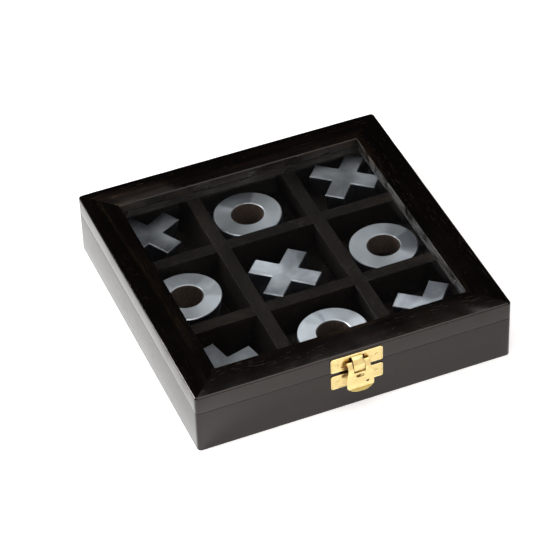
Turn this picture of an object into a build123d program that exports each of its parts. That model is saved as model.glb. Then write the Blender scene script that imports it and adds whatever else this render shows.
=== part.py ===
from build123d import *
import os

# Tic tac toe set: a glazed wooden case with nine cells, five X and four O pieces
# in solid metal, a pair of rear butt hinges and a brass hasp catch.
# Millimetres.  +X to the right of the catch, +Y towards the hinges, +Z up.
# The origin is the middle of the underside that rests on the table.

# ---- case ----
case_width = 482.6            # outside, along X
case_depth = 482.6            # outside, along Y
base_height = 70.6
lid_height = 29.0
seam_gap = 0.4                # daylight between base and shut lid
wall_thickness = 25.4
corner_radius = 6.0           # upright outside corners
top_edge_radius = 3.0
foot_edge_radius = 1.5

# ---- floor panel, let into a groove round the walls ----
floor_thickness = 16.6
floor_tongue_depth = 7.5
floor_tongue_height = 8.0
floor_tongue_lift = 4.0       # underside to the tongue
floor_fit = 0.2

# ---- crossed dividers ----
divider_thickness = 20.7
divider_edge_radius = 1.0
housing_depth = 4.0           # how far a divider's end is let into the wall
divider_fit = 0.1             # clearance at housings and halved crossings

# ---- lid frame and glass ----
rail_width = 49.0
lip_height = 14.0             # wood above the glass
lip_edge_radius = 1.5
rebate_width = 9.0
glass_thickness = 4.0
glass_fit = 1.0               # glass to rebate, each side
bead_fit = 0.2                # bead to rebate, and its underside to the lid's

# ---- playing pieces ----
piece_thickness = 40.0
piece_edge = 1.2              # chamfer round both faces
cross_span = 101.0            # end to end of an X's arms
cross_arm_width = 29.8
ring_diameter = 100.6
ring_bore = 47.6

# ---- rear hinges ----
hinge_spacing = 300.0         # centre to centre
hinge_length = 60.0
hinge_leaf_height = 22.0
hinge_leaf_thickness = 1.6
hinge_barrel_radius = 3.4
hinge_pin_radius = 1.5
hinge_running_fit = 0.05
hinge_set_off = 0.4           # barrel to the case's back face
knuckle_gap = 0.5
screw_spacing = 40.0

# ---- hasp catch on the front ----
plate_width = 80.0
plate_thickness = 1.5
plate_corner_radius = 3.0
plate_bead = 0.6              # height of the raised border
plate_bead_width = 1.6
strike_height = 25.0
keeper_height = 24.5
keeper_drop = 6.0             # seam to the keeper plate's top edge
strap_width = 16.6
strap_inset = 5.0             # strike plate's top edge to the strap's
strap_lift = 0.5              # lid's underside to the strap's lower end
strap_set_back = 2.2          # hasp's sheet to the strap's
strap_slot_width = 3.4
strap_slot_height = 13.0
sheet_thickness = 1.5
hasp_pin_radius = 1.3
hasp_pin_length = 36.0
hasp_pin_rise = 11.8          # lid's underside to the pin
hasp_curl_radius = 2.7
hasp_back_fit = 0.4           # rolled ends to the strike plate
hasp_stand_off = 12.6         # case face to the hasp's sheet at the seam
hasp_drop = 34.0              # lid's underside to the hasp's lowest point
hasp_half_width = 20.6
hasp_shoulder_inset = 1.4     # how far the shoulder lies inside the skirt's edge
hasp_shoulder_drop = 4.0      # lid's underside to the shoulder
hasp_skirt_drop = 12.0        # lid's underside to the full width
hasp_end_rise = 9.0           # lowest point to the start of the rounded end
hasp_window_drop = 1.0        # lid's underside to the window's lower edge
hasp_arm_straight = 3.0       # pin to where the arms begin to flare
hasp_slot_width = 12.5
hasp_slot_height = 5.0
hasp_slot_rise = 5.8          # staple to the slot's middle
hasp_eye_radius = 2.1
hasp_eye_reach = 2.0          # arm's inside edge to the eye
hasp_eye_drop = 19.4          # lid's underside to the eye
lug_width = 2.4
lug_spacing = 12.0            # over the two lugs that hold the pin, behind the strap
hasp_arm_width = 8.0
hasp_side_fit = 0.6           # strap to arm
staple_width = 9.0
staple_wire = 2.6
staple_bend_radius = 3.0
staple_drop = 6.1             # keeper plate's top edge to the staple
staple_gap = 2.8              # staple to the hasp's inside face
nail_radius = 0.9
nail_head_radius = 2.3
nail_head_height = 0.9
nail_head_round = 0.7
nail_length = 12.0
nail_inset = 9.5              # plate's end to the nail
pilot_fit = 0.05

# Side view of the strap between its ends: (share of its reach, height over the lid's underside).
strap_bends = [(0.5, 17.4), (0.92, 11.2), (1.0, 5.8)]
# Side view of the hasp below its pin: (reach past the stand-off, height over the lid's underside).
hasp_bends = [(-2.4, 6.3), (0.0, -2.0), (0.6, -13.0), (1.0, -21.0), (2.8, -27.0), (6.4, -31.0)]

through = 1.0                 # how far a cutter runs past the face it opens

# ---- worked out from the sizes above ----
half_width = case_width / 2
half_depth = case_depth / 2
lid_bottom = base_height + seam_gap
case_height = lid_bottom + lid_height
inner_width = case_width - 2 * wall_thickness
inner_depth = case_depth - 2 * wall_thickness
cell_width = (inner_width - 2 * divider_thickness) / 3
cell_depth = (inner_depth - 2 * divider_thickness) / 3
pitch_x = cell_width + divider_thickness
pitch_y = cell_depth + divider_thickness
divider_height = base_height - floor_thickness
opening_width = case_width - 2 * rail_width
opening_depth = case_depth - 2 * rail_width
glass_top = case_height - lip_height
glass_bottom = glass_top - glass_thickness
hinge_axis_y = half_depth + hinge_set_off + hinge_barrel_radius
hinge_axis_z = base_height + seam_gap / 2
face_y = -half_depth
bead_height = glass_bottom - lid_bottom - bead_fit
keeper_top = base_height - keeper_drop
hasp_pin_reach = plate_thickness + hasp_back_fit + hasp_curl_radius
hasp_pin_z = lid_bottom + hasp_pin_rise
hasp_pin_y = face_y - hasp_pin_reach
staple_reach = hasp_stand_off - sheet_thickness / 2 - staple_gap

# How each piece lies in its cell: column and row, shift as a share of the free play
# along X and Y, and turn in degrees.
piece_places = {
    "x_piece_rear_left": (-1, 1, -0.16, 0.98, -16.5),
    "o_piece_rear": (0, 1, -0.54, -0.56, 0.0),
    "x_piece_rear_right": (1, 1, 0.16, 0.62, 4.5),
    "o_piece_left": (-1, 0, -0.05, 0.76, 0.0),
    "x_piece_centre": (0, 0, -0.43, -0.12, 3.0),
    "o_piece_right": (1, 0, -0.62, -0.60, 0.0),
    "x_piece_front_left": (-1, -1, -0.44, 0.10, -31.5),
    "o_piece_front": (0, -1, 0.32, 0.14, 0.0),
    "x_piece_front_right": (1, -1, -0.15, -0.29, 5.8),
}

os.makedirs("parts", exist_ok=True)
written = {}


def save(name, shape):
    """Write one sub-part, kept under its node name."""
    written[name] = shape
    export_step(shape, f"parts/{name}.step")


def block(x0, x1, y0, y1, z0, z1):
    """Box from its two corners."""
    return Pos(x0, y0, z0) * Box(x1 - x0, y1 - y0, z1 - z0, align=Align.MIN)


def post(x, y, z, radius, length, axis="y"):
    """Rod that starts at the point and runs along +axis."""
    turn = {"x": Rot(0, 90, 0), "y": Rot(-90, 0, 0), "z": Rot(0, 0, 0)}[axis]
    rod = Cylinder(radius, length, align=(Align.CENTER, Align.CENTER, Align.MIN))
    return Pos(x, y, z) * turn * rod


# ---------------------------------------------------------------- mitred frames

SIDES = {"front": 0, "right": 90, "back": 180, "left": 270}


def side_turn(side):
    return Rot(0, 0, SIDES[side])


def side_reach(side, half_x, half_y):
    """Distance from the middle to this side, and half of its length."""
    if side in ("front", "back"):
        return half_y, half_x
    return half_x, half_y


def mitre_wedge(side, half_x, half_y, width, z0, z1):
    """Plan of one mitred member as a solid, laid as the front member is."""
    reach, half_length = side_reach(side, half_x, half_y)
    outline = Polyline(
        (-half_length, -reach),
        (half_length, -reach),
        (half_length - width, -reach + width),
        (-half_length + width, -reach + width),
        close=True,
    )
    return extrude(Pos(0, 0, z0) * make_face(outline), z1 - z0)


def member(side, half_x, half_y, width, section, z0, z1):
    """Mitred member with the given section of (depth inwards, height) points."""
    reach, half_length = side_reach(side, half_x, half_y)
    face = Plane.YZ * section
    bar = Pos(-half_length, -reach, 0) * extrude(face, 2 * half_length)
    return side_turn(side) * (bar & mitre_wedge(side, half_x, half_y, width, z0, z1))


def soft_corner(bar, z0, z1):
    """Round the case's upright corners on one member."""
    envelope = block(-half_width, half_width, -half_depth, half_depth, z0, z1)
    return bar & fillet(envelope.edges().filter_by(Axis.Z), corner_radius)


# ---------------------------------------------------------------- base

def wall_section():
    """Base wall: plain board with a groove for the floor's tongue."""
    face = make_face(Polyline(
        (0, 0), (wall_thickness, 0), (wall_thickness, base_height), (0, base_height), close=True))
    outer_foot = face.vertices().group_by(Axis.Y)[0].sort_by(Axis.X)[0]
    face = fillet(outer_foot, foot_edge_radius)
    groove_depth = floor_tongue_depth + floor_fit
    groove = Pos(wall_thickness - groove_depth, floor_tongue_lift - floor_fit) * Rectangle(
        groove_depth, floor_tongue_height + 2 * floor_fit, align=Align.MIN)
    return face - groove


def divider_slots():
    """Housings in the walls for all eight divider ends."""
    grow = divider_thickness / 2 + divider_fit
    reach_x = inner_width / 2 + housing_depth
    reach_y = inner_depth / 2 + housing_depth
    z0 = floor_thickness
    slots = []
    for sign in (-1, 1):
        y = sign * pitch_y / 2
        x = sign * pitch_x / 2
        slots.append(block(-reach_x, reach_x, y - grow, y + grow, z0, base_height + through))
        slots.append(block(x - grow, x + grow, -reach_y, reach_y, z0, base_height + through))
    return slots


def nail_points(z):
    return [(sign * (plate_width / 2 - nail_inset), z) for sign in (-1, 1)]


keeper_nail_z = keeper_top - keeper_height / 2
strike_nail_z = lid_bottom + strike_height / 2
hinge_centres = {"left": -hinge_spacing / 2, "right": hinge_spacing / 2}
base_screw_z = hinge_axis_z - hinge_barrel_radius - hinge_leaf_height / 2
lid_screw_z = hinge_axis_z + hinge_barrel_radius + hinge_leaf_height / 2


def hinge_screw_points(z):
    return [
        (centre + sign * screw_spacing / 2, z)
        for centre in hinge_centres.values()
        for sign in (-1, 1)
    ]


def front_pilots(points):
    start = face_y - through
    return [post(x, start, z, nail_radius + pilot_fit, nail_length + through) for x, z in points]


def back_pilots(points):
    start = half_depth - nail_length
    return [post(x, start, z, nail_radius + pilot_fit, nail_length + through) for x, z in points]


staple_z = keeper_top - staple_drop
staple_half = (staple_width - staple_wire) / 2


def staple_pilots():
    start = face_y - through
    radius = staple_wire / 2 + pilot_fit
    return [
        post(sign * staple_half, start, staple_z, radius, nail_length + through) for sign in (-1, 1)
    ]


def base_wall(side):
    wall = member(side, half_width, half_depth, wall_thickness, wall_section(), 0, base_height)
    wall = soft_corner(wall, 0, base_height)
    wall -= divider_slots()
    if side == "front":
        wall -= front_pilots(nail_points(keeper_nail_z)) + staple_pilots()
    if side == "back":
        wall -= back_pilots(hinge_screw_points(base_screw_z))
    return wall


for side in SIDES:
    save(f"base_{side}_wall", base_wall(side))

panel = block(-inner_width / 2, inner_width / 2, -inner_depth / 2, inner_depth / 2, 0, floor_thickness)
tongue = block(
    -inner_width / 2 - floor_tongue_depth,
    inner_width / 2 + floor_tongue_depth,
    -inner_depth / 2 - floor_tongue_depth,
    inner_depth / 2 + floor_tongue_depth,
    floor_tongue_lift,
    floor_tongue_lift + floor_tongue_height,
)
save("base_floor_panel", panel + tongue)


def divider(along_x, sign):
    """One board of the crossed pair; the X-wise boards are halved from above."""
    half_length = (inner_width if along_x else inner_depth) / 2 + housing_depth - divider_fit
    half = divider_thickness / 2
    board = block(-half_length, half_length, -half, half, floor_thickness, base_height)
    top_edges = board.edges().filter_by(Axis.X).group_by(Axis.Z)[-1]
    board = fillet(top_edges, divider_edge_radius)
    middle = floor_thickness + divider_height / 2
    cross_pitch = pitch_x if along_x else pitch_y
    for cross in (-1, 1):
        x = cross * cross_pitch / 2
        gap = half + divider_fit
        if along_x:
            board -= block(x - gap, x + gap, -half, half, middle, base_height + through)
        else:
            board -= block(x - gap, x + gap, -half, half, floor_thickness - through, middle)
    if along_x:
        return Pos(0, sign * pitch_y / 2, 0) * board
    return Pos(sign * pitch_x / 2, 0, 0) * Rot(0, 0, 90) * board


save("divider_front", divider(True, -1))
save("divider_rear", divider(True, 1))
save("divider_left", divider(False, -1))
save("divider_right", divider(False, 1))


# ---------------------------------------------------------------- lid

def rail_section():
    """Lid rail: a lip over the glass and a rebate beneath it."""
    outline = Polyline(
        (0, lid_bottom),
        (0, case_height),
        (rail_width, case_height),
        (rail_width, glass_top),
        (rail_width - rebate_width, glass_top),
        (rail_width - rebate_width, lid_bottom),
        close=True,
    )
    face = make_face(outline)
    top = face.vertices().group_by(Axis.Y)[-1].sort_by(Axis.X)
    face = fillet(top[0], top_edge_radius)
    top = face.vertices().group_by(Axis.Y)[-1].sort_by(Axis.X)
    return fillet(top[-1], lip_edge_radius)


def lid_rail(side):
    rail = member(side, half_width, half_depth, rail_width, rail_section(), lid_bottom, case_height)
    rail = soft_corner(rail, lid_bottom, case_height)
    if side == "front":
        rail -= front_pilots(nail_points(strike_nail_z))
    if side == "back":
        rail -= back_pilots(hinge_screw_points(lid_screw_z))
    return rail


def bead_section():
    """Strip under the glass; its inside face lines up with the lip above."""
    width = rebate_width - bead_fit
    bottom = glass_bottom - bead_height
    face = Pos(0, bottom) * Rectangle(width, bead_height, align=Align.MIN)
    corner = face.vertices().group_by(Axis.Y)[0].sort_by(Axis.X)[-1]
    return fillet(corner, lip_edge_radius)


for side in SIDES:
    save(f"lid_{side}_rail", lid_rail(side))

glass_half_x = opening_width / 2 + rebate_width - glass_fit
glass_half_y = opening_depth / 2 + rebate_width - glass_fit
save("lid_glass", block(-glass_half_x, glass_half_x, -glass_half_y, glass_half_y, glass_bottom, glass_top))

bead_half_x = opening_width / 2 + rebate_width - bead_fit
bead_half_y = opening_depth / 2 + rebate_width - bead_fit
for side in SIDES:
    strip = member(
        side, bead_half_x, bead_half_y, rebate_width - bead_fit, bead_section(),
        glass_bottom - bead_height, glass_bottom,
    )
    save(f"glass_bead_{side}", strip)


# ---------------------------------------------------------------- playing pieces

def eased(solid):
    """Chamfer the edges round a piece's two faces."""
    faces = solid.faces().filter_by(Axis.Z)
    return chamfer(faces.edges(), piece_edge)


def cross_piece():
    bars = Rectangle(cross_span, cross_arm_width) + Rectangle(cross_arm_width, cross_span)
    return eased(extrude(bars, piece_thickness))


def ring_piece():
    face = Circle(ring_diameter / 2) - Circle(ring_bore / 2)
    return eased(extrude(face, piece_thickness))


for name, (column, row, share_x, share_y, turn) in piece_places.items():
    solid = Rot(0, 0, 45 + turn) * cross_piece() if name.startswith("x") else ring_piece()
    extent = solid.bounding_box().size
    dx = share_x * (cell_width - extent.X) / 2
    dy = share_y * (cell_depth - extent.Y) / 2
    save(name, Pos(column * pitch_x + dx, row * pitch_y + dy, floor_thickness) * solid)


# ---------------------------------------------------------------- rear hinges

knuckle_length = (hinge_length - 2 * knuckle_gap) / 3
knuckle_starts = [i * (knuckle_length + knuckle_gap) - hinge_length / 2 for i in range(3)]


def on_axis(start, radius, length):
    """Rod along the hinge axis."""
    return post(start, hinge_axis_y, hinge_axis_z, radius, length, "x")


def hinge_leaf(on_lid):
    """Leaf on the back face; the base leaf has the outer knuckles, the lid leaf the middle one."""
    way = 1 if on_lid else -1
    near = hinge_axis_z + way * (hinge_barrel_radius + knuckle_gap)
    far = hinge_axis_z + way * (hinge_barrel_radius + hinge_leaf_height)
    y0, y1 = half_depth, half_depth + hinge_leaf_thickness
    plate = block(-hinge_length / 2, hinge_length / 2, y0, y1, min(near, far), max(near, far))
    far_corners = plate.edges().filter_by(Axis.Y).group_by(Axis.Z)[-1 if on_lid else 0]
    plate = fillet(far_corners, plate_corner_radius)
    mine = [1] if on_lid else [0, 2]
    bore = hinge_pin_radius + (hinge_running_fit if on_lid else 0)
    neck_y0 = hinge_axis_y - hinge_barrel_radius
    for i in mine:
        start = knuckle_starts[i]
        neck_z0, neck_z1 = sorted((near, hinge_axis_z))
        neck = block(start, start + knuckle_length, neck_y0, y1, neck_z0, neck_z1)
        plate += [neck, on_axis(start, hinge_barrel_radius, knuckle_length)]
        plate -= on_axis(start - knuckle_gap / 2, bore, knuckle_length + knuckle_gap)
    screw_z = lid_screw_z if on_lid else base_screw_z
    for sign in (-1, 1):
        x = sign * screw_spacing / 2
        plate -= post(x, y0 - through, screw_z, nail_radius + pilot_fit, hinge_leaf_thickness + 2 * through)
    return plate


for side, centre in hinge_centres.items():
    save(f"hinge_{side}_base_leaf", Pos(centre, 0, 0) * hinge_leaf(False))
    save(f"hinge_{side}_lid_leaf", Pos(centre, 0, 0) * hinge_leaf(True))
    save(f"hinge_{side}_pin", on_axis(centre - hinge_length / 2, hinge_pin_radius, hinge_length))


def fastener(x, y, z, way):
    """Domed nail whose head sits on the plate at y and points out along way (-1 front, 1 back)."""
    shank = Cylinder(nail_radius, nail_length, align=(Align.CENTER, Align.CENTER, Align.MAX))
    head = Cylinder(nail_head_radius, nail_head_height, align=(Align.CENTER, Align.CENTER, Align.MIN))
    head = fillet(head.edges().sort_by(Axis.Z)[-1], nail_head_round)
    turn = Rot(90, 0, 0) if way < 0 else Rot(-90, 0, 0)
    return Pos(x, y, z) * turn * (head + shank)


back_plate_y = half_depth + hinge_leaf_thickness
front_plate_y = face_y - plate_thickness
base_screws = [fastener(x, back_plate_y, z, 1) for x, z in hinge_screw_points(base_screw_z)]
lid_screws = [fastener(x, back_plate_y, z, 1) for x, z in hinge_screw_points(lid_screw_z)]
save("hinge_base_screws", Compound(base_screws))
save("hinge_lid_screws", Compound(lid_screws))


# ---------------------------------------------------------------- hasp catch

def sheet_strip(points, width):
    """Curved sheet across X from (reach off the face, height) points of its middle line."""
    line = Spline([Vector(reach, height) for reach, height in points])
    section = trace(line, sheet_thickness)
    solid = extrude(Plane.YZ * section, width / 2, both=True)
    return Pos(0, face_y, 0) * mirror(solid, Plane.XZ)


def catch_plate(z0, height):
    """Stamped plate with a raised border."""
    body = RectangleRounded(plate_width, height, plate_corner_radius)
    inner = RectangleRounded(
        plate_width - 2 * plate_bead_width,
        height - 2 * plate_bead_width,
        plate_corner_radius - plate_bead_width,
    )
    flat = extrude(body, plate_thickness)
    rim = extrude(body - inner, plate_thickness + plate_bead)
    return Pos(0, face_y, z0 + height / 2) * Rot(90, 0, 0) * (flat + rim)


def plate_cuts(points, radius):
    """Holes through a catch plate."""
    start = front_plate_y - through
    return [post(x, start, z, radius, plate_thickness + 2 * through) for x, z in points]


strap_top = lid_bottom + strike_height - strap_inset
strap_reach = hasp_stand_off - strap_set_back
strap_line = [
    (plate_thickness / 2, strap_top),
    *[(share * strap_reach, lid_bottom + rise) for share, rise in strap_bends],
    (strap_reach, lid_bottom + strap_lift),
]
hasp_line = [
    (hasp_pin_reach + hasp_curl_radius - sheet_thickness / 2, hasp_pin_z),
    *[(hasp_stand_off + reach, lid_bottom + rise) for reach, rise in hasp_bends],
]

strike = catch_plate(lid_bottom, strike_height)
for sign in (-1, 1):
    slot_x0, slot_x1 = sorted((sign * strap_width / 2, sign * (strap_width / 2 + strap_slot_width)))
    strike -= block(slot_x0, slot_x1, front_plate_y - through, face_y + through,
                    strap_top - strap_slot_height, strap_top)
strike += sheet_strip(strap_line, strap_width)
lug_inner = lug_spacing / 2 - lug_width
for sign in (-1, 1):
    x0 = min(sign * lug_inner, sign * lug_spacing / 2)
    lug = block(x0, x0 + lug_width, face_y - hasp_pin_reach, face_y - plate_thickness / 2,
                hasp_pin_z - hasp_curl_radius, hasp_pin_z + hasp_curl_radius)
    lug += post(x0, hasp_pin_y, hasp_pin_z, hasp_curl_radius, lug_width, "x")
    strike += lug
strike -= post(-plate_width / 2, hasp_pin_y, hasp_pin_z, hasp_pin_radius, plate_width, "x")
strike -= plate_cuts(nail_points(strike_nail_z), nail_radius + pilot_fit)
save("catch_strike_plate", strike)

keeper = catch_plate(keeper_top - keeper_height, keeper_height)
keeper -= plate_cuts(nail_points(keeper_nail_z), nail_radius + pilot_fit)
keeper -= plate_cuts([(-staple_half, staple_z), (staple_half, staple_z)], staple_wire / 2 + pilot_fit)
save("catch_keeper_plate", keeper)

staple_path = FilletPolyline(
    (-staple_half, face_y + nail_length, staple_z),
    (-staple_half, face_y - staple_reach + staple_wire / 2, staple_z),
    (staple_half, face_y - staple_reach + staple_wire / 2, staple_z),
    (staple_half, face_y + nail_length, staple_z),
    radius=staple_bend_radius,
)
staple_start = Plane(origin=staple_path @ 0, z_dir=staple_path % 0)
save("catch_staple", sweep(staple_start * Circle(staple_wire / 2), path=staple_path))

arm_inner = strap_width / 2 + hasp_side_fit
arm_outer = arm_inner + hasp_arm_width
arm_top = hasp_pin_z + hasp_curl_radius
window_bottom = lid_bottom - hasp_window_drop
hasp_bottom = lid_bottom - hasp_drop
end_z = hasp_bottom + hasp_end_rise
shoulder = (hasp_half_width - hasp_shoulder_inset, lid_bottom - hasp_shoulder_drop)
right_side = Polyline((0, arm_top), (arm_outer, arm_top), (arm_outer, hasp_pin_z - hasp_arm_straight))
right_flare = Spline(right_side @ 1, shoulder, (hasp_half_width, lid_bottom - hasp_skirt_drop))
right_skirt = Line(right_flare @ 1, (hasp_half_width, end_z))
rounded_end = ThreePointArc(right_skirt @ 1, (0, hasp_bottom), (-hasp_half_width, end_z))
half_outline = [right_side, right_flare, right_skirt]
outline = make_face(half_outline + [rounded_end] + [mirror(edge, Plane.YZ) for edge in half_outline])
window = Pos(0, window_bottom) * Rectangle(
    2 * arm_inner, arm_top + through - window_bottom, align=(Align.CENTER, Align.MIN))
slot = Pos(0, staple_z + hasp_slot_rise) * SlotOverall(hasp_slot_width, hasp_slot_height)
eye = Pos(arm_inner + hasp_eye_reach, lid_bottom - hasp_eye_drop) * Circle(hasp_eye_radius)
stamping = outline - window - slot - eye
cutter = extrude(Pos(0, face_y, 0) * Rot(90, 0, 0) * stamping, 2 * hasp_stand_off)
hasp = sheet_strip(hasp_line, plate_width) & cutter
for sign in (-1, 1):
    x0 = min(sign * arm_inner, sign * arm_outer)
    hasp += post(x0, hasp_pin_y, hasp_pin_z, hasp_curl_radius, arm_outer - arm_inner, "x")
hasp -= post(-plate_width / 2, hasp_pin_y, hasp_pin_z, hasp_pin_radius + hinge_running_fit, plate_width, "x")
save("catch_hasp", hasp)
hasp_pin = post(-hasp_pin_length / 2, hasp_pin_y, hasp_pin_z, hasp_pin_radius, hasp_pin_length, "x")
save("catch_hasp_pin", hasp_pin)

strike_nails = [fastener(x, front_plate_y, z, -1) for x, z in nail_points(strike_nail_z)]
keeper_nails = [fastener(x, front_plate_y, z, -1) for x, z in nail_points(keeper_nail_z)]
save("catch_strike_nails", Compound(strike_nails))
save("catch_keeper_nails", Compound(keeper_nails))

print(len(written), "sub-parts, case", case_width, "x", case_depth, "x", round(case_height, 1))
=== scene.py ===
"""Tic tac toe set: a glazed ebonised case with solid metal noughts and crosses and a brass hasp."""

import math
from functools import wraps

import bmesh
import bpy
from bpy.props import FloatProperty, FloatVectorProperty, IntProperty, PointerProperty
from mathutils import Matrix, Vector, noise


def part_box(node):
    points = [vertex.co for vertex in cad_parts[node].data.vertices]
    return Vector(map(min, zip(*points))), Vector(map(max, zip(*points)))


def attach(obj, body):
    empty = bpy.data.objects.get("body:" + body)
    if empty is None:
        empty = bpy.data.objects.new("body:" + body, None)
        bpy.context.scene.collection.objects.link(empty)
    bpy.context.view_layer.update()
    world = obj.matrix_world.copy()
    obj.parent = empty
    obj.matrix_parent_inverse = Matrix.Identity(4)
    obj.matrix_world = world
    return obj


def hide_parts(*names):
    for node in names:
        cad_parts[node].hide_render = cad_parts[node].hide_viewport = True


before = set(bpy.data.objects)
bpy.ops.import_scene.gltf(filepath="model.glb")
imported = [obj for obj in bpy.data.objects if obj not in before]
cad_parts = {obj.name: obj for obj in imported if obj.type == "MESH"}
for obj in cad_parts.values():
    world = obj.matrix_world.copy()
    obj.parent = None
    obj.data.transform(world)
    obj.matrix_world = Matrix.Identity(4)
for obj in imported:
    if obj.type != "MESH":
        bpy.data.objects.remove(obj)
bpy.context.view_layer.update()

bl_info = {
    "name": "Tic tac toe set",
    "version": (1, 0, 0),
    "blender": (4, 5, 0),
    "location": "View3D > Sidebar > Tic tac toe",
    "description": "Builds a glazed wooden tic tac toe case with its metal pieces and brass catch",
    "category": "Add Mesh",
}

MM = 0.001
X, Y, Z = range(3)

# ---------------------------------------------------------------- sizes read from the frame


def extent(node, axis):
    """Middle and half length of a part along one axis of the frame."""
    low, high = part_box(node)
    return (low[axis] + high[axis]) / 2, (high[axis] - low[axis]) / 2


WALL_LOW, WALL_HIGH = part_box("base_front_wall")
RAIL_LOW, RAIL_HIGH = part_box("lid_front_rail")
GLASS_LOW, GLASS_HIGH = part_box("lid_glass")
BEAD_LOW, BEAD_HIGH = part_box("glass_bead_front")
STRIKE_LOW, STRIKE_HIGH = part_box("catch_strike_plate")
KEEPER_LOW, KEEPER_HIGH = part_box("catch_keeper_plate")

HALF_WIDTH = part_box("base_right_wall")[1][X]
HALF_DEPTH = -WALL_LOW[Y]
WALL_THICKNESS = WALL_HIGH[Y] - WALL_LOW[Y]
RAIL_WIDTH = RAIL_HIGH[Y] - RAIL_LOW[Y]
BASE_TOP = WALL_HIGH[Z]
LID_BOTTOM = RAIL_LOW[Z]
LID_TOP = RAIL_HIGH[Z]
FLOOR_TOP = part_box("base_floor_panel")[1][Z]
GLASS_BOTTOM = GLASS_LOW[Z]
GLASS_TOP = GLASS_HIGH[Z]
REBATE_WIDTH = 9 * MM
BEAD_WIDTH = BEAD_HIGH[Y] - BEAD_LOW[Y]

# Turn of each cross in degrees, from lying with its arms along the cell's diagonals.
CROSS_TURNS = {
    "x_piece_rear_left": -16.5,
    "x_piece_rear_right": 4.5,
    "x_piece_centre": 3.0,
    "x_piece_front_left": -31.5,
    "x_piece_front_right": 5.8,
}
# Painted light and shade: how bright each piece's metal is painted, as a share of the colours in its
# settings, for how much light it catches where it sits.
PAINTED_LIGHT_LEVELS = {
    "x_piece_rear_left": 0.42,
    "x_piece_rear_right": 0.58,
    "x_piece_centre": 1.0,
    "x_piece_front_left": 0.5,
    "x_piece_front_right": 1.0,
    "o_piece_rear": 0.6,
    "o_piece_left": 0.86,
    "o_piece_right": 0.65,
    "o_piece_front": 1.08,
}
# Painted reflection: darker sectors painted on each turned face where its turned metal would reflect less
# light; direction in degrees, spread, softness and depth.
PAINTED_RING_SECTORS = {
    "o_piece_rear": [(94, 0.22, 0.10, 0.62), (185, 0.35, 0.25, 0.35)],
    "o_piece_left": [(75, 0.30, 0.12, 0.32), (-8, 0.05, 0.04, 0.35)],
    "o_piece_right": [
        (-14, 0.22, 0.12, 0.70), (12, 0.38, 0.30, 0.45), (85, 0.40, 0.25, 0.20), (-95, 0.40, 0.25, 0.20),
    ],
    "o_piece_front": [(60, 0.30, 0.12, 0.30), (112, 0.06, 0.04, 0.25)],
}


# ---------------------------------------------------------------- settings shown in the sidebar


def colour(name, description, default):
    return FloatVectorProperty(
        name=name, description=description, subtype="COLOR", size=3, min=0.0, max=1.0, default=default
    )


def length(name, description, default, most=0.05):
    return FloatProperty(
        name=name, description=description, default=default, min=0.0, max=most, unit="LENGTH", precision=4
    )


def share(name, description, default):
    return FloatProperty(
        name=name, description=description, default=default, min=0.0, max=1.0, subtype="FACTOR"
    )


def power(name, description, default):
    return FloatProperty(name=name, description=description, default=default, min=0.0, unit="POWER")


class CaseSettings(bpy.types.PropertyGroup):
    """Wood and glass of the case"""

    stain: colour("Stain", "Colour of the ebonised surface", (0.0008, 0.0006, 0.0005))
    heart: colour("Heartwood", "Brown that shows where the stain is thin", (0.017, 0.0085, 0.0055))
    pore: colour("Open pores", "Tan that shows in the open grain", (0.098, 0.058, 0.030))
    gloss: share("Finish roughness", "Roughness of the satin finish", 0.14)
    upright_radius: length("Upright corners", "Radius of the four outside corners", 6 * MM)
    top_radius: length("Lid edge", "Radius round the lid's outside top edge", 3 * MM)
    foot_radius: length("Foot edge", "Radius round the underside", 1.5 * MM)
    lip_radius: length("Lip edge", "Radius along the opening's edge", 1.5 * MM)
    ease: length("Eased edges", "Rounding of every other wooden edge", 0.5 * MM)
    wear: length("Worn edges", "How far the outside edges are rubbed down", 0.45 * MM)
    glass_edge: length("Ground edge", "Bevel round the glass pane", 0.4 * MM)


class PieceSettings(bpy.types.PropertyGroup):
    """Noughts and crosses"""

    metal: colour("Metal", "Colour of the polished metal", (0.62, 0.65, 0.70))
    # Dark end of the metal's colour: painted shade in the turned faces' darker sectors, and random darker
    # patches on the brushed crosses.
    shade: colour("Shaded metal", "Colour of the darker bands in the metal", (0.17, 0.18, 0.205))
    # Painted shade: the polished sides get a darker colour in place of the dark surroundings they reflect.
    painted_side_shade: colour("Sides", "Colour of the darker polished sides", (0.16, 0.17, 0.19))
    # Dark brown of the bores: their unpolished metal, with painted shade and painted brown reflection of the
    # wood far down in them.
    raw: colour("Bores", "Colour of the unpolished bores", (0.046, 0.030, 0.023))
    roughness: share("Roughness", "Roughness of the satin faces", 0.44)
    arm: length("Arm width", "Width of a cross's arms", 29.8 * MM)
    span: length("Span", "End to end of a cross's arms", 101 * MM, 0.3)
    bore: length("Bore", "Diameter of a nought's hole", 47.6 * MM, 0.2)
    edge: length("Edge", "Chamfer round both faces", 1.2 * MM)
    steps: IntProperty(
        name="Facets", description="Steps round a nought", default=128, min=24, max=256
    )


class CatchSettings(bpy.types.PropertyGroup):
    """Brass catch and hinges"""

    brass: colour("Brass", "Colour of the polished brass", (0.72, 0.57, 0.26))
    # Colour of the brass's real oxidation patches, also used as painted shade in its hollows.
    tarnish_and_painted_shade: colour("Tarnish", "Colour in the brass's hollows", (0.30, 0.145, 0.025))
    # Painted shade: the turned-out lip gets a darker, greener brass where it lies in shade and reflects the
    # dark front.
    painted_lip_shade: colour("Lip", "Greener brass of the hasp's turned-out lip", (0.44, 0.345, 0.10))
    roughness: share("Roughness", "Roughness of the polish", 0.13)
    sheet: length("Sheet", "Thickness of the catch's sheet metal", 1.5 * MM)
    border: length("Border", "Width of the raised border", 1.6 * MM)


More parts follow.
